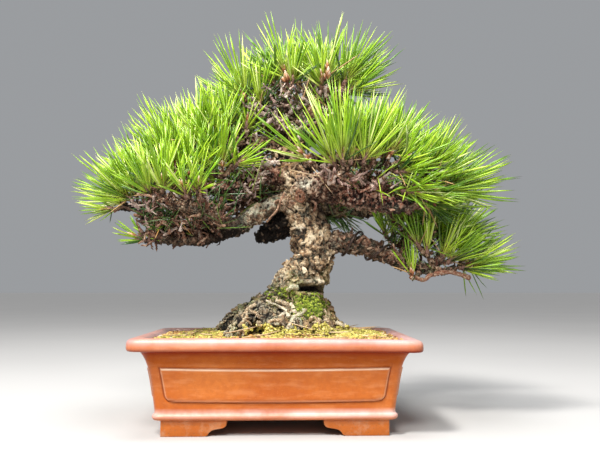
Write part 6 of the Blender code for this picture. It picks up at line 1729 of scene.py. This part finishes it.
def mossiness(x, y):
    """How thickly moss covers the soil: full along the front middle, the left and the back corners; thin at the right."""
    q = np.stack([x, y, np.zeros(len(x))], axis=1)
    base = seen(287, 330, 0)
    near = np.exp(-(((x - base.x - 6) / 62) ** 2 + ((y + 14) / 44) ** 2) * 1.1)
    left = np.exp(-(((x + 66) / 22) ** 2 + ((y + 26) / 28) ** 2)) * 0.8
    back = np.exp(-(((x + 48) / 30) ** 2 + ((y - 38) / 18) ** 2)) + np.exp(-(((x - 52) / 30) ** 2 + ((y - 40) / 16) ** 2))
    right = np.exp(-(((x - 68) / 16) ** 2 + ((y + 14) / 30) ** 2)) * 0.75
    return np.clip(near + left + back * 0.9 + right, 0, 1) + 0.35 * fractal(q, 12, 90, 3)


GRAINS = toned("soil_grains", [(0.0, srgb(108, 78, 46)), (0.3, srgb(170, 128, 76)), (0.55, srgb(204, 156, 88)), (0.75, srgb(228, 192, 120)), (0.9, srgb(212, 206, 120)), (1.0, srgb(240, 228, 200))], 0.9, 700, 0.6, 0.0006)
x, y, r = scattered(3400, 71)
z = soil_height(x, y)
ok = wood_clear(x, y, z) & (mossiness(x, y) < 0.72)
x, y, z = x[ok], y[ok], z[ok]
sizes = 0.7 + 1.1 * r.random(len(x)) ** 2
blobs("soil_grains", np.stack([x, y, z + 0.25 * sizes], axis=1), sizes, np.stack([np.clip(r.normal(0.5, 0.26, len(x)), 0, 1), r.uniform(0, 0.5, len(x)), r.random(len(x)), np.ones(len(x))], axis=1), GRAINS, 72, 0.85, 0.3, (), False)

MOSS = toned("moss_tips", [(0.0, srgb(104, 94, 44)), (0.25, srgb(158, 148, 66)), (0.5, srgb(188, 178, 80)), (0.75, srgb(224, 210, 118)), (0.9, srgb(240, 226, 160)), (1.0, srgb(222, 178, 112))], 0.85, 1500, 0.6, 0.0005)
x, y, r = scattered(7600, 73)
z = soil_height(x, y)
thick = mossiness(x, y)
ok = wood_clear(x, y, z) & (thick > 0.42)
x, y, z, thick = x[ok], y[ok], z[ok], thick[ok]
lift = 2.2 * np.clip(thick - 0.42, 0, 0.5) / 0.5 + 0.5 * value_noise(np.stack([x, y, z * 0], axis=1), 5, 12)
sizes = 0.65 + 0.75 * r.random(len(x))
olive = np.clip(0.56 + 0.22 * fractal(np.stack([x, y, z * 0], axis=1), 9, 95, 2) + r.normal(0, 0.16, len(x)) - 0.35 * np.exp(-(((x + 58) / 22) ** 2 + ((y + 10) / 34) ** 2)), 0, 1)
nodes = tuple(n for n in NODES if n.startswith("moss_"))
blobs("moss_cover", np.stack([x, y, z + lift * r.uniform(0.35, 1.0, len(x))], axis=1), sizes, np.stack([olive, 0.75 * r.random(len(x)) ** 3, r.random(len(x)), np.ones(len(x))], axis=1), MOSS, 74, 1.0, 0.35, nodes, False)

# bright moss on the front of the flare, lodged between the roots
spots, tones = [], []
rng = random.Random(81)
for _ in range(1100):
    u, v = rng.gauss(311, 7.0), rng.gauss(307, 5.5)
    if rng.random() < 0.10:
        u, v = rng.uniform(266, 296), rng.uniform(288, 302)
    try:
        p, n = on_wood(u, v, (TRUNK_TREE,))
    except ValueError:
        continue
    if p.z < 66 or p.y > 4 or rng.random() > 0.92:
        continue
    if 284 < v < 292.5 and u > 298:
        continue
    spots.append(p + n * rng.uniform(-0.1, 0.9))
    w = rng.gauss(0.42, 0.2) if abs(u - 311) < 14 else rng.gauss(0.35, 0.22)
    tones.append((clamp(w), clamp(rng.random() ** 3), 0, 1))
PATCH = toned("moss_bright", [(0.0, srgb(46, 56, 12)), (0.3, srgb(92, 112, 20)), (0.55, srgb(134, 154, 32)), (0.8, srgb(178, 186, 70)), (1.0, srgb(206, 190, 120))], 0.85, 1500, 0.6, 0.0005)
blobs("moss_on_trunk", np.array([tuple(p) for p in spots]), np.random.default_rng(82).uniform(0.5, 1.15, len(spots)), np.array(tones), PATCH, 83, 1.0, 0.35, (), False)

# yellow moss that climbs the feet of the roots
spots = []
rng = random.Random(85)
for _ in range(1250):
    u, v = rng.uniform(244, 350), rng.uniform(319, 335)
    top = 325.5 + 2.2 * math.sin(u * 0.21) + 1.4 * math.sin(u * 0.53 + 1) + (2.5 if 284 < u < 300 else 0)
    if v < top:
        continue
    try:
        p, n = on_wood(u, v, (TRUNK_TREE,))
    except ValueError:
        continue
    if p.z > 84 or p.y > 4:
        continue
    spots.append(p + n * rng.uniform(0.1, 1.5))
r = np.random.default_rng(86)
blobs("moss_at_roots", np.array([tuple(p) for p in spots]), r.uniform(0.6, 1.2, len(spots)), np.stack([np.clip(r.normal(0.56, 0.18, len(spots)), 0, 1), 0.7 * r.random(len(spots)) ** 3, r.random(len(spots)), np.ones(len(spots))], axis=1), MOSS, 87, 1.0, 0.35, (), False)

# straws and fallen needles on the soil
straw = Pile()
rng = random.Random(91)
for _ in range(150):
    x, y = rng.uniform(-84, 84), rng.uniform(-58, 56)
    z = float(soil_height(x, y)) + rng.uniform(0.8, 2.6)
    th = rng.uniform(0, 6.28)
    d = Vector((math.cos(th), math.sin(th), rng.uniform(-0.05, 0.12))).normalized()
    L = rng.uniform(8, 26)
    e = Vector((x, y, z)) + d * L
    if abs(e.x) > 86 or abs(e.y) > 60:
        continue
    needle(straw, Vector((x, y, z)), d, L, rng.uniform(0.7, 1.1), Vector((0, 0, rng.uniform(-0.06, 0.04))) + jitter(rng) * 0.05, (rng.random(), rng.random(), rng.uniform(0.8, 1.0)))
for a, b in (((225, 333, -52), (262, 327, -46)), ((256, 336, -55), (284, 331, -50)), ((232, 329, -30), (246, 318, -28)), ((288, 322, -40), (318, 332, -46))):
    p, q = seen(*a), seen(*b)
    needle(straw, p, (q - p).normalized(), (q - p).length, 1.2, Vector((0, 0, 0.05)), (rng.random(), 0.5, 0.97))
straw.piece("fallen_needles", NEEDLE, True, (), "needles")


# ---------------------------------------------------------------------------------- wires, screens, grit
def along_line(line, t):
    lengths = [0.0]
    for a, b in zip(line, line[1:]):
        lengths.append(lengths[-1] + (b[0] - a[0]).length)
    s = t * lengths[-1]
    for i in range(len(line) - 1):
        if lengths[i + 1] >= s:
            k = (s - lengths[i]) / (lengths[i + 1] - lengths[i])
            return line[i][0].lerp(line[i + 1][0], k), (line[i + 1][0] - line[i][0]).normalized(), line[i][1] * (1 - k) + line[i + 1][1] * k
    return line[-1][0], (line[-1][0] - line[-2][0]).normalized(), line[-1][1]


def coil_points(line, t0, t1, turns, start, clearance, steps=14):
    made = []
    total = round(turns * steps)
    for k in range(total + 1):
        p, d, r = along_line(line, t0 + (t1 - t0) * k / total)
        n = Vector((0, -1, 0))
        n = (n - d * n.dot(d)).normalized()
        m = d.cross(n)
        a = start - 2 * math.pi * turns * k / total
        made.append(p + (n * math.cos(a) + m * math.sin(a)) * (r * 1.09 + clearance))
    return made


coil = coil_points(FINE["low_right"], 0.199, 0.545, 1.73, math.radians(110), 1.65)
DARK_WIRE = simple("brown_anodised_wire", [(0.3, srgb(44, 34, 30)), (0.7, srgb(78, 62, 54))], 500, 0.38, 0.1, 0.0002, None, Metallic=0.6)
mesh_object("training_wire_fine", *tube(smooth_line([(q, 1.0) for q in coil], 0.9), 14), DARK_WIRE, True, ("training_wire",), "training_wire")

PLAIN = {
    "drain_screen": simple("screen_plastic", [(0.3, srgb(22, 22, 22)), (0.7, srgb(34, 34, 34))], 300, 0.6, 0.1),
    "screen_wire": simple("aluminium_wire", [(0.3, srgb(150, 150, 154)), (0.7, srgb(190, 190, 194))], 300, 0.35, 0.1, 0.0002, None, Metallic=0.9),
    "root_tie": simple("tie_wire", [(0.3, srgb(140, 140, 144)), (0.7, srgb(180, 180, 184))], 300, 0.38, 0.1, 0.0002, None, Metallic=0.9),
    "drainage_grit": simple("pumice_grit", [(0.3, srgb(120, 108, 88)), (0.7, srgb(202, 192, 168))], 260, 0.95, 0.8, 0.001),
}
for key, ob in NODES.items():
    for start, m in PLAIN.items():
        if key.startswith(start):
            ob.data.materials.clear()
            ob.data.materials.append(m)

# ---------------------------------------------------------------------------------- floor and light
def stage():
    k = Nodes("floor")
    k.finish(k.ramp(k.noise(3, 2), [(0.3, (0.47, 0.465, 0.46)), (0.7, (0.49, 0.485, 0.48))]), 0.8)
    s = 60.0
    me = bpy.data.meshes.new("floor")
    me.from_pydata([(-s, -s, 0), (s, -s, 0), (s, s, 0), (-s, s, 0)], [], [(0, 1, 2, 3)])
    me.materials.append(k.m)
    floor = bpy.data.objects.new("floor", me)
    bpy.context.scene.collection.objects.link(floor)
    world = bpy.data.worlds.new("studio")
    bpy.context.scene.world = world
    world.use_nodes = True
    bg = world.node_tree.nodes["Background"]
    bg.inputs["Color"].default_value = (0.90, 0.93, 0.97, 1.0)
    bg.inputs["Strength"].default_value = 0.36

    def lamp(name, kind, place, aim, power, colour, size=0.3):
        light = bpy.data.lights.new(name, kind)
        if kind == "AREA":
            light.shape = "DISK"
            light.size = size
        else:
            light.angle = size
        light.energy = power
        light.color = colour
        ob = bpy.data.objects.new(name, light)
        bpy.context.scene.collection.objects.link(ob)
        ob.location = place
        ob.rotation_euler = (Vector(aim) - Vector(place)).to_track_quat("-Z", "Y").to_euler()

    lamp("day", "SUN", (-0.6, -0.7, 1.3), (0, 0, 0.1), 1.35, (1.0, 0.98, 0.95), math.radians(14))
    lamp("key", "AREA", (-0.52, -0.70, 1.25), (0, 0, 0.15), 20.0, (1.0, 0.97, 0.92), 0.24)
    lamp("front", "AREA", (-0.12, -1.10, 1.02), (0, 0, 0.08), 13.0, (1.0, 0.985, 0.96), 0.36)
    lamp("top", "AREA", (0.0, -0.15, 1.25), (0, 0, 0.1), 10.0, (1.0, 1.0, 1.0), 0.6)


stage()
